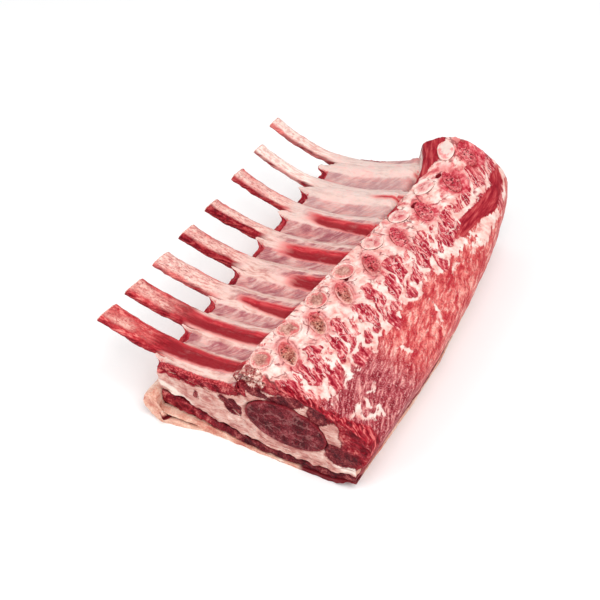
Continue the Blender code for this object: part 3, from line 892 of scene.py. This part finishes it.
def rgb(r, g, b, gain=STUDIO):
    """Linear colour from display values 0 to 255."""
    def channel(c):
        c /= 255
        return gain * (c / 12.92 if c <= 0.04045 else ((c + 0.055) / 1.055) ** 2.4)
    return (channel(r), channel(g), channel(b), 1.0)


class Shade:
    """One material's nodes. Places are in mm; a plain (r, g, b) is a display colour, 0 to 255."""

    def __init__(self, name, roughness, soft, coat):
        self.material = bpy.data.materials.new(name)
        self.material.use_nodes = True
        self.tree = self.material.node_tree
        self.shader = self.tree.nodes["Principled BSDF"]
        constants = {
            "Roughness": roughness, "Specular IOR Level": 0.03, "Coat Weight": coat, "Coat Roughness": 0.2,
            "Subsurface Weight": soft, "Subsurface Radius": (1.0, 0.35, 0.25), "Subsurface Scale": 0.0025,
        }
        for socket, value in constants.items():
            self.shader.inputs[socket].default_value = value

    def put(self, kind, inputs, out=0, **settings):
        node = self.tree.nodes.new("ShaderNode" + kind)
        for key, value in settings.items():
            setattr(node, key, value)
        for key, value in inputs.items():
            self.plug(node.inputs[key], value)
        return node.outputs[out]

    def plug(self, socket, value):
        if isinstance(value, bpy.types.NodeSocket):
            self.tree.links.new(value, socket)
        elif socket.type == "RGBA" and len(value) == 3:
            socket.default_value = rgb(*value)
        else:
            socket.default_value = value

    def place_mm(self):
        here = self.put("TexCoord", {}, out="Object")
        return self.put("Mapping", {"Vector": here, "Scale": (1 / MM,) * 3})

    def field(self, name, out="Fac"):
        return self.put("Attribute", {}, out, attribute_name=name)

    def split(self, vector):
        return tuple(self.put("SeparateXYZ", {0: vector}, axis) for axis in ("X", "Y"))

    def turned(self, vector, turn, scale, shift=(0, 0, 0)):
        """The place turned about Z (or by three angles), in degrees, then scaled."""
        degrees = turn if isinstance(turn, tuple) else (0, 0, turn)
        turned = self.put("Mapping", {
            "Vector": vector, "Rotation": tuple(math.radians(d) for d in degrees), "Location": shift})
        return self.put("Mapping", {"Vector": turned, "Scale": scale})

    def noise(self, vector, size, detail=3.0, rough=0.55, twist=0.0):
        return self.put("TexNoise", {
            "Vector": vector, "Scale": 1 / size, "Detail": detail, "Roughness": rough, "Distortion": twist})

    def fibres(self, vector, turn, scale, detail, rough, twist=0.0, size=1, shift=(0, 0, 0)):
        """Noise drawn out along fibres: a small scale along an axis makes them long that way."""
        return self.noise(self.turned(vector, turn, scale, shift), size, detail, rough, twist)

    def warp(self, vector, size, amount):
        """The place, pushed about by noise of that size."""
        push = self.put("TexNoise", {"Vector": vector, "Scale": 1 / size, "Detail": 3.0}, "Color")
        push = self.put("VectorMath", {0: push, 1: (0.5, 0.5, 0.5)}, operation="SUBTRACT")
        push = self.put("VectorMath", {0: push, 1: (2 * amount,) * 3}, operation="MULTIPLY")
        return self.put("VectorMath", {0: vector, 1: push}, operation="ADD")

    def cells(self, vector, size, feature="F1"):
        return self.put("TexVoronoi", {"Vector": vector, "Scale": 1 / size}, feature=feature)

    def math(self, kind, a, b=0.0):
        return self.put("Math", {0: a, 1: b}, operation=kind)

    def add(self, a, b):
        return self.math("ADD", a, b)

    def times(self, a, b):
        return self.math("MULTIPLY", a, b)

    def weighted(self, *terms):
        """Sum of values times weights, given in turn."""
        return functools.reduce(self.add, (self.times(*pair) for pair in zip(terms[::2], terms[1::2])))

    def wander(self, value, amount, middle=0.5):
        """Noise brought round 0 and scaled."""
        return self.times(self.math("SUBTRACT", value, middle), amount)

    def apart(self, value, middle):
        return self.math("ABSOLUTE", self.math("SUBTRACT", value, middle))

    def step(self, value, low, high, full=1.0, none=0.0):
        """Smooth step from none at low to full at high."""
        return self.put("MapRange", {
            "Value": value, "From Min": low, "From Max": high, "To Min": none, "To Max": full,
        }, interpolation_type="SMOOTHSTEP")

    def edged(self, field, noise, reach, low, high, full=1.0, none=0.0):
        """Smooth step over a value or painted field, its edge made ragged by noise."""
        if isinstance(field, str):
            field = self.field(field)
        return self.step(self.add(field, self.wander(noise, reach)), low, high, full, none)

    def mix(self, factor, a, b):
        return self.put("Mix", {0: factor, MIX_A: a, MIX_B: b}, MIX_RESULT, data_type="RGBA")

    def ramp(self, factor, *stops):
        """Colours (position, r, g, b) over noise, which keeps near 0.5: they are drawn in towards it."""
        stops = [(0.5 + 0.62 * (position - 0.5), rgb(*colour)) for position, *colour in stops]
        node = self.tree.nodes.new("ShaderNodeValToRGB")
        elements = node.color_ramp.elements
        for element, (position, colour) in zip(elements, (stops[0], stops[-1])):
            element.position, element.color = position, colour
        for position, colour in stops[1:-1]:
            elements.new(position).color = colour
        self.plug(node.inputs[0], factor)
        return node.outputs[0]

    def finish(self, colour, height, bump, depth, roughness=None):
        """Colour, bump height with its strength and depth in metres, and roughness (noise, low, high)."""
        self.plug(self.shader.inputs["Base Color"], colour)
        if roughness:
            rough = self.put("MapRange", dict(zip(("Value", "To Min", "To Max"), roughness)))
            self.plug(self.shader.inputs["Roughness"], rough)
        normal = self.put("Bump", {"Strength": bump, "Distance": depth, "Height": height})
        self.plug(self.shader.inputs["Normal"], normal)
        return self.material


# --- Materials ----------------------------------------------------------------------------------
def broken_bone(m, here, fine):
    """Splintered, bloody bone with dark pores."""
    bone = m.ramp(m.weighted(m.noise(here, 2.6, 4, 0.65), 0.75, fine, 0.25),
                  (0.30, 70, 8, 16), (0.40, 140, 62, 60), (0.51, 204, 146, 134), (0.66, 246, 218, 206))
    return m.mix(m.step(m.noise(here, 4.5, 3), 0.49, 0.57, 0.8), bone, (140, 26, 40))


def sawn_face():
    m = Shade("sawn_face", roughness=0.42, soft=0.1, coat=0.02)
    chart = m.field("chart", "Vector")
    lengthwise, across = m.split(chart)
    warped, calm = m.warp(chart, 7, 2.4), m.warp(chart, 16, 2.5)
    fine, patchy, lumpy = m.noise(chart, 1.5, 4, 0.6), m.noise(chart, 9, 4, 0.6), m.noise(warped, 3.4)
    grain = m.fibres(calm, 24, (0.10, 0.42, 1), 3, 0.55)
    grain_fine = m.fibres(calm, 21, (0.17, 0.95, 1), 3, 0.55)
    rays = m.fibres(warped, 60, (0.10, 0.75, 1), 3, 0.5)

    # Lower part: orange-red, purple near the shoulder, with pale streaks and specks.
    low = m.weighted(patchy, 0.25, grain_fine, 0.20, grain, 0.55)
    muscle = m.ramp(low,
                    (0.34, 180, 44, 54), (0.46, 202, 80, 80), (0.56, 222, 120, 114), (0.70, 246, 184, 170))
    purple = m.ramp(m.weighted(low, 0.6, grain_fine, 0.4),
                    (0.34, 112, 24, 38), (0.45, 144, 48, 60), (0.55, 176, 84, 92), (0.68, 222, 152, 148))
    muscle = m.mix(m.times(m.step(lengthwise, -38, -66), m.step(across, 42, 50, 0.85)), muscle, purple)
    streaks = m.times(m.step(grain_fine, 0.54, 0.68), m.step(patchy, 0.38, 0.58, 0.65, 0.1))
    streaks = m.times(streaks, m.step(lengthwise, -85, -45, 1.0, 0.35))
    muscle = m.mix(streaks, muscle, (246, 194, 182))
    specks = m.step(m.noise(chart, 0.85, 2, 0.5), 0.53, 0.66)
    specks = m.times(specks, m.step(lengthwise, -30, -70, 0.6, 0.15))
    muscle = m.mix(specks, muscle, (230, 166, 164))
    muscle = m.mix(m.step(m.noise(chart, 1.1, 2, 0.5), 0.47, 0.36, 0.4), muscle, (112, 24, 36))

    # Middle: dark wedges with pale threads between. Upper part: pink, redder towards the loin.
    lines = m.weighted(rays, 0.7, lumpy, 0.3)
    wedge = m.ramp(lines,
                   (0.32, 138, 22, 40), (0.44, 172, 44, 60), (0.56, 200, 88, 94), (0.68, 238, 168, 162))
    between = m.ramp(lines,
                     (0.32, 164, 40, 54), (0.44, 194, 80, 86), (0.55, 218, 124, 122), (0.68, 246, 192, 184))
    middle = m.times(m.step(across, 20, 26), m.edged(across, fine, 8.0, 48, 42))
    muscle = m.mix(middle, muscle, between)
    upper = m.ramp(m.weighted(fine, 0.3, lumpy, 0.7),
                   (0.34, 178, 46, 58), (0.46, 210, 96, 98), (0.56, 234, 148, 142), (0.7, 250, 204, 194))
    upper = m.mix(m.step(lengthwise, 0, 60, 0.4), upper, (196, 50, 66))
    muscle = m.mix(m.step(across, 25, 19), muscle, upper)
    colour = m.mix(m.edged("wedges", fine, 2.0, -0.2, 0.9), muscle, wedge)
    threads = m.fibres(m.warp(chart, 11, 3.0), 60, (0.045, 0.36, 1), 1, 0.5)
    threads = m.times(m.step(m.apart(threads, 0.5), 0.035, 0.008), m.times(middle, 0.6))
    colour = m.mix(threads, colour, (250, 214, 206))

    # Fat, torn into a net along the fibres and blushed red in places.
    lobes = m.cells(m.turned(warped, 58, (0.48, 1, 1)), 6.6, "DISTANCE_TO_EDGE")
    net = m.times(m.step(lobes, 0.20, 0.02), m.step(m.apart(across, 31.0), 24, 13, 1.0, 0.15))
    torn = m.add(m.times(net, 2.2), m.wander(lumpy, 3.0))
    torn = m.add(torn, m.wander(m.add(grain, grain_fine), 3.0, 1.0))
    torn = m.times(torn, m.step(m.field("wedges"), 1.2, -1.0, 1.0, 0.3))
    fat_amount = m.step(m.add(m.field("fat"), torn), 0.1, 1.0)
    fat = m.ramp(m.weighted(patchy, 0.6, lumpy, 0.4),
                 (0.32, 226, 154, 146), (0.45, 240, 196, 186), (0.56, 247, 218, 208), (0.72, 251, 234, 226))
    reach = m.step(m.add(lengthwise, m.times(across, -2.0)), -60, 40, 0.9, 0.45)
    blush = m.times(m.step(m.noise(chart, 6.5, 3, 0.5), 0.50, 0.62), m.step(across, 34, 22, 1.0, 0.1))
    fat = m.mix(m.times(blush, reach), fat, m.mix(m.step(lumpy, 0.40, 0.6), (196, 70, 82), (230, 138, 134)))
    colour = m.mix(m.times(fat_amount, 0.96), colour, fat)

    # Red glow round the arches, red spongy bone, fine cracks, clean meat, vessels, bone outlines.
    glow = m.mix(lumpy, (196, 50, 66), (238, 150, 146))
    colour = m.mix(m.edged("arches", patchy, 9.0, -2.6, 0.4, 0.7), colour, glow)
    sponge = m.ramp(m.weighted(fine, 0.4, lumpy, 0.6),
                    (0.34, 176, 26, 48), (0.46, 200, 60, 76), (0.57, 220, 108, 114), (0.70, 240, 166, 162))
    pores = m.step(m.cells(m.warp(chart, 3, 1.2), 2.0), 0.34, 0.16)
    pores = m.times(pores, m.step(m.noise(chart, 5, 2), 0.42, 0.52, 0.85))
    sponge = m.mix(pores, sponge, (116, 12, 30))
    colour = m.mix(m.edged("sponge", patchy, 7.0, -1.4, 0.8, 0.88), colour, sponge)
    cracks = m.step(m.cells(m.warp(chart, 3, 1.8), 9.5, "DISTANCE_TO_EDGE"), 0.06, 0.015)
    cracks = m.times(cracks, m.times(m.step(m.noise(chart, 7, 2), 0.47, 0.56), m.step(across, 28, 22, 0.7)))
    colour = m.mix(cracks, colour, (132, 50, 54))
    meat = m.ramp(m.fibres(chart, 2, (0.10, 0.6, 1), 4, 0.6),
                  (0.34, 140, 26, 40), (0.48, 162, 42, 52), (0.60, 178, 58, 64), (0.74, 196, 86, 86))
    colour = m.mix(m.edged("clean", fine, 1.6, -0.2, 0.5), colour, meat)
    colour = m.mix(m.edged("vessels", fine, 1.0, -0.1, 0.4), colour, (112, 18, 28))
    rim = m.math("ABSOLUTE", m.add(m.field("bones"), m.add(m.wander(fine, 1.4), 0.5)))
    rim = m.add(rim, m.step(lengthwise, -20, 30))
    colour = m.mix(m.times(m.step(rim, 0.7, 0.15), m.step(patchy, 0.46, 0.58, 0.6)), colour, (158, 74, 74))

    # Blood and splintered bone at the shoulder end.
    bloody = m.ramp(lines, (0.36, 98, 2, 18), (0.48, 140, 10, 30), (0.58, 176, 36, 50), (0.70, 224, 116, 112))
    colour = m.mix(m.edged("blood", lumpy, 1.6, 0.3, 0.8, 0.9), colour, bloody)
    colour = m.mix(m.edged("broken", fine, 0.8, 0.4, 0.7), colour, broken_bone(m, m.place_mm(), fine))
    height = m.weighted(fat_amount, 0.6, fine, 0.5, grain_fine, 0.45)
    return m.finish(colour, height, 0.6, 0.0008, (fine, 0.3, 0.52))


def membrane_colour(m, here):
    """Mauve and cream skin with red bands, from the painted fields; also its fibre and cloud noise."""
    warped = m.warp(here, 12, 3.0)
    cloud = m.noise(here, 10, 4, 0.6)
    fibre = m.fibres(warped, 36, (0.035, 0.22, 0.2), 4, 0.58)
    thread = m.fibres(warped, 40, (0.08, 0.9, 0.4), 3, 0.55)
    ribbed = m.fibres(warped, 0, (0.7, 0.05, 0.3), 4, 0.58)
    lengthwise, _ = m.split(here)
    mauve = m.ramp(m.weighted(fibre, 0.5, cloud, 0.5),
                   (0.34, 158, 84, 92), (0.45, 182, 116, 118), (0.55, 200, 150, 145), (0.68, 222, 186, 178))
    mauve = m.mix(m.step(thread, 0.50, 0.72, 0.35), mauve, (238, 212, 204))
    mauve = m.mix(m.step(thread, 0.44, 0.34, 0.3), mauve, (150, 92, 92))
    mauve = m.mix(m.step(lengthwise, 20, 60, 0.35), mauve, (214, 190, 186))
    streaked = m.weighted(ribbed, 0.6, cloud, 0.4)
    cream = m.ramp(streaked,
                   (0.34, 206, 150, 141), (0.45, 224, 184, 173), (0.54, 236, 209, 198), (0.66, 248, 232, 223))
    cream = m.mix(m.step(lengthwise, 0, 50, 0.45), cream, (228, 217, 210))
    wander = m.wander(m.add(fibre, cloud), 0.7, 1.0)
    colour = m.mix(m.step(m.add(m.field("pale"), wander), 0.1, 0.85, 0.92), mauve, cream)
    red = m.ramp(streaked, (0.36, 156, 20, 36), (0.48, 184, 38, 50), (0.60, 204, 72, 76))
    # Painted shade on each band's shoulder-side edge, from the dark field.
    red = m.mix(m.step(m.field("dark"), 0.35, 1.0, 0.8), red, (126, 10, 26))
    edge = m.add(m.field("red"), m.wander(m.add(ribbed, cloud), 0.9, 1.0))
    colour = m.mix(m.step(edge, -0.1, 0.4, 0.7), colour, (226, 132, 128))
    return m.mix(m.step(edge, 0.25, 1.0, 0.97), colour, red), fibre, cloud


def membrane():
    m = Shade("rib_membrane", roughness=0.36, soft=0.15, coat=0.04)
    here = m.place_mm()
    fine = m.noise(here, 1.2, 4, 0.6)
    colour, fibre, cloud = membrane_colour(m, here)
    ragged = m.math("MAXIMUM", m.field("lip"), m.field("hem"))
    meat = m.mix(m.step(fine, 0.4, 0.6), (128, 8, 24), (204, 84, 86))
    colour = m.mix(m.edged(ragged, fine, 1.2, 0.5, 0.85), colour, meat)
    return m.finish(colour, m.weighted(fibre, 0.7, fine, 0.25), 0.5, 0.0007, (cloud, 0.26, 0.46))


def cut_end():
    m = Shade("cut_end", roughness=0.36, soft=0.12, coat=0.06)
    here = m.place_mm()
    fine, cloud = m.noise(here, 1.1, 5, 0.62), m.noise(here, 6, 4, 0.6)
    strand = m.fibres(here, 0, (0.5, 0.16, 0.9), 4, 0.6, 0.5)
    dark = m.ramp(m.weighted(cloud, 0.5, fine, 0.5),
                  (0.34, 60, 8, 16), (0.46, 90, 18, 28), (0.57, 122, 38, 44), (0.7, 168, 92, 88))
    bright = m.ramp(m.weighted(cloud, 0.6, fine, 0.4),
                    (0.34, 92, 4, 18), (0.46, 128, 14, 30), (0.57, 160, 40, 50), (0.70, 214, 120, 114))
    fat = m.ramp(m.weighted(cloud, 0.55, strand, 0.45),
                 (0.34, 176, 108, 102), (0.46, 204, 146, 136), (0.58, 220, 176, 164), (0.74, 238, 208, 196))
    fat = m.mix(m.field("white"), fat, m.mix(fine, (236, 204, 190), (252, 240, 230)))
    wobble = m.add(m.wander(fine, 2.2), m.wander(cloud, 2.2))
    meat = m.step(m.add(m.field("muscle"), wobble), -0.35, 0.35)
    # The bright field picks the redder ramp; along the cap muscle's edges it is held low as painted shade.
    colour = m.mix(meat, fat, m.mix(m.field("bright"), dark, bright))
    colour = m.mix(m.edged("broken", fine, 0.5, 0.4, 0.7), colour, broken_bone(m, here, fine))
    return m.finish(colour, m.weighted(fine, 0.8, strand, 0.5), 0.7, 0.0008, (fine, 0.26, 0.5))


def side_meat(name, colours, fat_low, fat_high, seed=0.0):
    """Muscle seen along its fibres, with strands of fat running with it."""
    m = Shade(name, roughness=0.4, soft=0.1, coat=0.05)
    here = m.place_mm()
    fine = m.noise(here, 1.2, 5, 0.6)
    cloud = m.fibres(here, 0, (0.35, 1, 1), 4, 0.6, size=7, shift=(seed, 0, 0))
    strand = m.fibres(here, 4, (0.06, 0.5, 0.7), 5, 0.62, 0.4, shift=(seed, 3, 0))
    stops = ((at, *colour) for at, colour in zip((0.34, 0.48, 0.62), colours))
    meat = m.ramp(m.weighted(cloud, 0.5, strand, 0.5), *stops)
    fat = m.mix(fine, (228, 170, 152), (248, 220, 206))
    colour = m.mix(m.step(m.weighted(strand, 0.6, cloud, 0.4), fat_low, fat_high), meat, fat)
    return m.finish(colour, m.weighted(strand, 0.8, fine, 0.4), 0.6, 0.0008, (fine, 0.28, 0.52))


def fat_material():
    m = Shade("outer_fat", roughness=0.42, soft=0.2, coat=0.04)
    here = m.place_mm()
    fine, cloud = m.noise(here, 1.0, 5, 0.6), m.noise(here, 13, 5, 0.62)
    fat = m.ramp(m.weighted(cloud, 0.7, fine, 0.3),
                 (0.34, 196, 120, 104), (0.46, 222, 164, 144), (0.56, 234, 190, 170), (0.72, 246, 220, 204))
    blush = m.step(m.fibres(here, 10, (0.05, 0.14, 0.3), 5, 0.6), 0.56, 0.70, 0.55)
    colour = m.mix(blush, fat, (204, 96, 88))
    # Dark red: painted shade in the groove on the cut ends, and bare muscle at the shoulder end's back
    # corner.
    colour = m.mix(m.step(m.field("muscle"), -1.2, 0.4), colour, (112, 26, 34))
    height = m.weighted(m.cells(here, 1.7, "SMOOTH_F1"), -0.4, fine, 0.4, cloud, 0.4)
    return m.finish(colour, height, 0.5, 0.0007, (cloud, 0.32, 0.52))


def eye_material():
    m = Shade("loin_eye", roughness=0.42, soft=0.1, coat=0.024)
    here = m.place_mm()
    fine, cloud = m.noise(here, 1.0, 5, 0.62), m.noise(here, 8, 4, 0.6)
    bundles = m.cells(m.warp(here, 4, 3.5), 6.2, "DISTANCE_TO_EDGE")
    colour = m.ramp(m.weighted(cloud, 0.6, fine, 0.4),
                    (0.34, 64, 6, 14), (0.46, 88, 15, 26), (0.57, 112, 29, 38), (0.7, 146, 62, 68))
    seams = m.times(m.step(bundles, 0.13, 0.01), m.step(m.noise(here, 5), 0.42, 0.58, 0.35))
    colour = m.mix(seams, colour, (190, 124, 122))
    flecks = m.fibres(here, (24, 0, 0), (1, 0.4, 0.9), 4, 0.6, size=1.4)
    colour = m.mix(m.step(flecks, 0.60, 0.72, 0.45), colour, (196, 130, 128))
    colour = m.mix(m.step(m.field("rim"), 1.6, 0.2, 0.5), colour, (150, 44, 52))
    return m.finish(colour, m.weighted(fine, 0.7, bundles, 0.5), 0.6, 0.0007, (fine, 0.24, 0.44))


# Each rib's bare part: how red its top is near the flesh and at the tip, how cream it is, and how
# far the dark meat and painted shade on its shoulder-side flank reach over the top.
BARE = ((1.0, 0.8, 0.0, -0.9), (0.75, 0.62, 0.1, -0.85), (0.25, 0.25, 0.4, -0.95), (0.35, 0.45, 0.3, -0.5),
        (0.35, 0.5, 0.35, -0.38), (0.4, 0.45, 0.4, -0.9), (0.05, 0.1, 0.95, -0.95), (0.15, 0.25, 0.75, -0.95))


def bone_material(index):
    red_in, red_out, cream, flank = BARE[index]
    m = Shade(f"rib_bone_{index + 1}", roughness=0.36, soft=0.12, coat=0.06)
    here, shift = m.place_mm(), (3.7 * index, 0, 0)
    fine = m.noise(here, 1.3, 4, 0.6)
    fibre = m.fibres(here, 0, (0.8, 0.06, 0.8), 4, 0.6, 0.3, shift=shift)
    patch = m.fibres(here, 0, (0.8, 0.3, 0.8), 3, 0.55, size=5, shift=shift)
    span, side, up = m.field("span"), m.field("across"), m.field("up")
    pink = m.ramp(m.weighted(fibre, 0.65, fine, 0.35),
                  (0.34, 196, 98, 96), (0.45, 218, 138, 130), (0.54, 232, 170, 158), (0.68, 246, 206, 192))
    creamy = m.ramp(fibre, (0.34, 232, 188, 178), (0.45, 242, 212, 202), (0.56, 250, 232, 222))
    red = m.ramp(m.weighted(fibre, 0.6, patch, 0.4),
                 (0.34, 146, 12, 28), (0.46, 184, 32, 44), (0.57, 206, 68, 72), (0.70, 234, 134, 126))
    reddening = m.step(span, FRENCH_Y - 2, TIP_Y, red_out, red_in)
    edges = m.step(m.apart(side, 0.0), 0.35, 1.0, 0.45, -0.1)
    amount = m.add(m.add(reddening, edges), m.add(m.wander(patch, 1.6), m.wander(fibre, 1.1)))
    colour = m.mix(m.step(amount, 0.34, 1.0, 0.92), m.mix(cream, pink, creamy), red)
    cracks = m.fibres(here, 0, (1.25, 0.07, 1.25), 2, 0.5, 0.2, shift=shift)
    colour = m.mix(m.step(cracks, 0.57, 0.65, 0.12 if index > 5 else 0.5), colour, (146, 50, 56))
    # Dark meat with painted shade, on the underside and along the shoulder-side flank.
    dark = m.ramp(m.weighted(fibre, 0.75, fine, 0.25),
                  (0.36, 104, 10, 24), (0.48, 140, 24, 36), (0.58, 164, 46, 52), (0.72, 186, 84, 80))
    below = m.step(m.add(m.times(up, -1.0), m.wander(patch, 1.2)), 0.30, 0.8, 0.9)
    flanked = m.step(m.add(m.add(side, m.wander(patch, 0.9)), -flank), 0.16, -0.16)
    colour = m.mix(m.math("MAXIMUM", below, flanked), colour, dark)
    if index < 2:
        core = m.times(m.step(m.apart(side, -0.1), 1.05, 0.5), m.step(up, 0.0, 0.6))
        core = m.times(core, m.edged(span, patch, 12, FRENCH_Y + 27, FRENCH_Y + 5, 0.9))
        colour = m.mix(core, colour, m.mix(m.step(fibre, 0.4, 0.6), (128, 8, 24), (172, 36, 48)))
    rooted = m.times(m.edged(span, patch, 9.0, FRENCH_Y + 9, FRENCH_Y), m.step(up, -0.1, 0.5))
    colour = m.mix(rooted, colour, membrane_colour(m, here)[0])
    # Painted shade in the hollow under the rib where it leaves the flesh.
    root_shade = m.step(m.add(side, m.times(up, 0.8)), -0.5, -1.1, 0.85)
    root_shade = m.times(root_shade, m.step(span, FRENCH_Y + 12, FRENCH_Y + 2))
    colour = m.mix(root_shade, colour, (116, 10, 24))
    return m.finish(colour, m.weighted(fibre, 0.8, fine, 0.4), 0.6, 0.0006, (patch, 0.26, 0.46))


def tip_material():
    m = Shade("rib_tip", roughness=0.5, soft=0.12, coat=0.02)
    here = m.place_mm()
    fine, pores = m.noise(here, 0.9, 5, 0.65), m.cells(here, 0.9)
    colour = m.ramp(m.weighted(fine, 0.7, pores, 0.35),
                    (0.34, 184, 104, 98), (0.5, 216, 156, 144), (0.7, 238, 202, 188))
    return m.finish(colour, m.add(fine, m.times(pores, 0.5)), 0.5, 0.0005)


def head_material():
    """A cut rib head: brownish centre and pink ring, redder then paler towards the loin."""
    m = Shade("rib_head", roughness=0.46, soft=0.12, coat=0.02)
    here = m.place_mm()
    fine, cloud = m.noise(here, 1.2, 4, 0.6), m.noise(here, 4, 4, 0.6)
    lengthwise, _ = m.split(here)
    centre = m.ramp(m.weighted(fine, 0.4, cloud, 0.6),
                    (0.34, 138, 84, 78), (0.46, 166, 108, 98), (0.56, 190, 134, 122), (0.70, 218, 168, 154))
    rosy = m.mix(m.step(cloud, 0.4, 0.62), (200, 70, 84), (246, 190, 184))
    centre = m.mix(m.step(lengthwise, -20, 30, 0.85), centre, rosy)
    centre = m.mix(m.step(lengthwise, 70, 84), centre, m.mix(cloud, (216, 188, 180), (240, 222, 214)))
    ring = m.ramp(m.weighted(fine, 0.5, cloud, 0.5),
                  (0.36, 206, 108, 106), (0.5, 228, 148, 142), (0.62, 244, 196, 186))
    red = m.mix(fine, (180, 52, 62), (224, 120, 118))
    ring = m.mix(m.edged("below", cloud, 1.6, 0.0, 0.9, 0.85), ring, red)
    pale = m.mix(m.step(cloud, 0.42, 0.6), (232, 150, 148), (250, 222, 212))
    ring = m.mix(m.step(lengthwise, -20, 30), ring, pale)
    colour = m.mix(m.edged("depth", cloud, 1.6, 0.22, 0.52), ring, centre)
    colour = m.mix(m.edged("depth", cloud, 0.48, 0.12, 0.0, 0.6), colour, (248, 214, 202))
    return m.finish(colour, m.add(fine, cloud), 0.6, 0.0007)


def arch_material():
    """A cut arch: porous brown marrow in a pink ring, red and spongy towards the loin."""
    m = Shade("arch_marrow", roughness=0.46, soft=0.1, coat=0.02)
    here = m.place_mm()
    fine, cloud = m.noise(here, 1.1, 4, 0.6), m.noise(here, 5, 4, 0.6)
    lengthwise, _ = m.split(here)
    mottled = m.weighted(fine, 0.5, cloud, 0.5)
    marrow = m.ramp(mottled,
                    (0.34, 136, 62, 56), (0.46, 172, 102, 88), (0.57, 194, 136, 116), (0.70, 222, 172, 152))
    reddish = m.edged("lengthwise", cloud, 2.5, -0.1, 0.7)
    red = m.mix(m.step(fine, 0.3, 0.7), (168, 30, 46), (222, 104, 106))
    marrow = m.mix(m.times(reddish, 0.8), marrow, red)
    spongy = m.ramp(mottled,
                    (0.36, 170, 26, 48), (0.47, 198, 64, 80), (0.57, 218, 110, 116), (0.70, 240, 168, 164))
    marrow = m.mix(m.step(lengthwise, -50, 20, 0.9), marrow, spongy)
    small = m.times(m.step(m.cells(here, 1.3), 0.36, 0.16), m.step(cloud, 0.38, 0.5))
    pits = m.step(m.math("MAXIMUM", m.field("pits"), small), 0.3, 0.8, 0.85)
    colour = m.mix(pits, marrow, (92, 24, 28))
    pink = m.mix(fine, (222, 130, 124), (248, 206, 196))
    ring = m.mix(reddish, pink, m.mix(m.step(cloud, 0.4, 0.6), (192, 48, 64), (232, 130, 128)))
    outlined = m.times(m.edged("depth", cloud, 0.9, 0.40, 0.02), m.step(lengthwise, 10, -30, 1.0, 0.15))
    return m.finish(m.mix(outlined, colour, ring), m.add(fine, cloud), 0.6, 0.0006)


def floor_material():
    m = Shade("pale_floor", roughness=0.9, soft=0.0, coat=0.0)
    colour = m.mix(m.noise(m.place_mm(), 40, 2), rgb(250, 250, 250, gain=1.0), rgb(253, 253, 253, gain=1.0))
    m.plug(m.shader.inputs["Base Color"], colour)
    return m.material


# --- Scene --------------------------------------------------------------------------------------
def lamp(name, place_at, look_at, size, power):
    light = bpy.data.lights.new(name, "AREA")
    light.size, light.energy = size, power
    made = bpy.data.objects.new(name, light)
    made.location = place_at
    made.rotation_euler = (Vector(look_at) - Vector(place_at)).to_track_quat("-Z", "Y").to_euler()
    bpy.context.scene.collection.objects.link(made)


def stage(centre):
    """A plain pale floor, an even pale sky and two soft lights, in metres."""
    reach = 4
    mesh = bpy.data.meshes.new("floor")
    corners = [(-reach, -reach, 0), (reach, -reach, 0), (reach, reach, 0), (-reach, reach, 0)]
    mesh.from_pydata(corners, [], [(0, 1, 2, 3)])
    mesh.materials.append(floor_material())
    floor = bpy.data.objects.new("floor", mesh)
    bpy.context.scene.collection.objects.link(floor)
    world = bpy.data.worlds.new("studio")
    world.use_nodes = True
    background = world.node_tree.nodes["Background"]
    background.inputs["Color"].default_value = (1, 1, 1, 1)
    background.inputs["Strength"].default_value = 0.62
    bpy.context.scene.world = world
    bpy.context.scene.view_settings.view_transform = "Standard"
    lamp("key", centre + Vector((-0.25, -0.5, 0.95)), centre, size=0.7, power=8.2)
    lamp("fill", centre + Vector((-0.8, 0.5, 0.6)), centre, size=0.8, power=4.4)


def camera(centre):
    """Looks down on the rack from its shoulder end and back, slightly rolled."""
    data = bpy.data.cameras.new("camera")
    data.lens, data.sensor_width = 84.0, 36.0
    made = bpy.data.objects.new("camera", data)
    bpy.context.scene.collection.objects.link(made)
    way, rise, roll, distance = math.radians(-58.1445), math.radians(43.3429), math.radians(-5.1547), 0.80358
    back = Vector((math.sin(way) * math.cos(rise), -math.cos(way) * math.cos(rise), math.sin(rise)))
    place_at = centre + back * distance
    aim = centre + Vector((-0.014847, 0.007157, -0.009039))
    turn = (aim - place_at).to_track_quat("-Z", "Y").to_matrix().to_4x4()
    made.matrix_world = Matrix.Translation(place_at) @ turn @ Matrix.Rotation(roll, 4, "Z")
    bpy.context.scene.camera = made


def main():
    seam_side = side_meat("seam_side", ((200, 130, 116), (222, 168, 150), (240, 204, 188)), 0.55, 0.7)
    cap_side = side_meat("cap_side", ((84, 18, 28), (122, 36, 44), (160, 72, 74)), 0.60, 0.72, 5.0)
    ragged = side_meat("ragged_meat", ((110, 14, 28), (158, 30, 44), (200, 70, 74)), 0.60, 0.70, 2.0)
    end = cut_end()
    make_lean((sawn_face(), membrane(), end, ragged))
    make_eye((eye_material(),))
    make_layer("seam_layer", "seam_fat", (CAP_TOP, 0.15), (SEAM, -0.1),
               (end, seam_side), (180, 168, 26), raise_ends=0.1)
    make_layer("cap_layer", "cap_muscle", (CAP_LOW, 0.15), (CAP_TOP, -0.15),
               (end, cap_side), (180, 168, 16), raise_ends=-0.3)
    make_fat((fat_material(),))
    tip, head, arch = tip_material(), head_material(), arch_material()
    for index in range(RIBS):
        make_rib(index, (bone_material(index), tip, head))
        make_arch(index, (arch,))
    centre = (cad_low + cad_high) / 2
    stage(centre)
    camera(centre)


main()
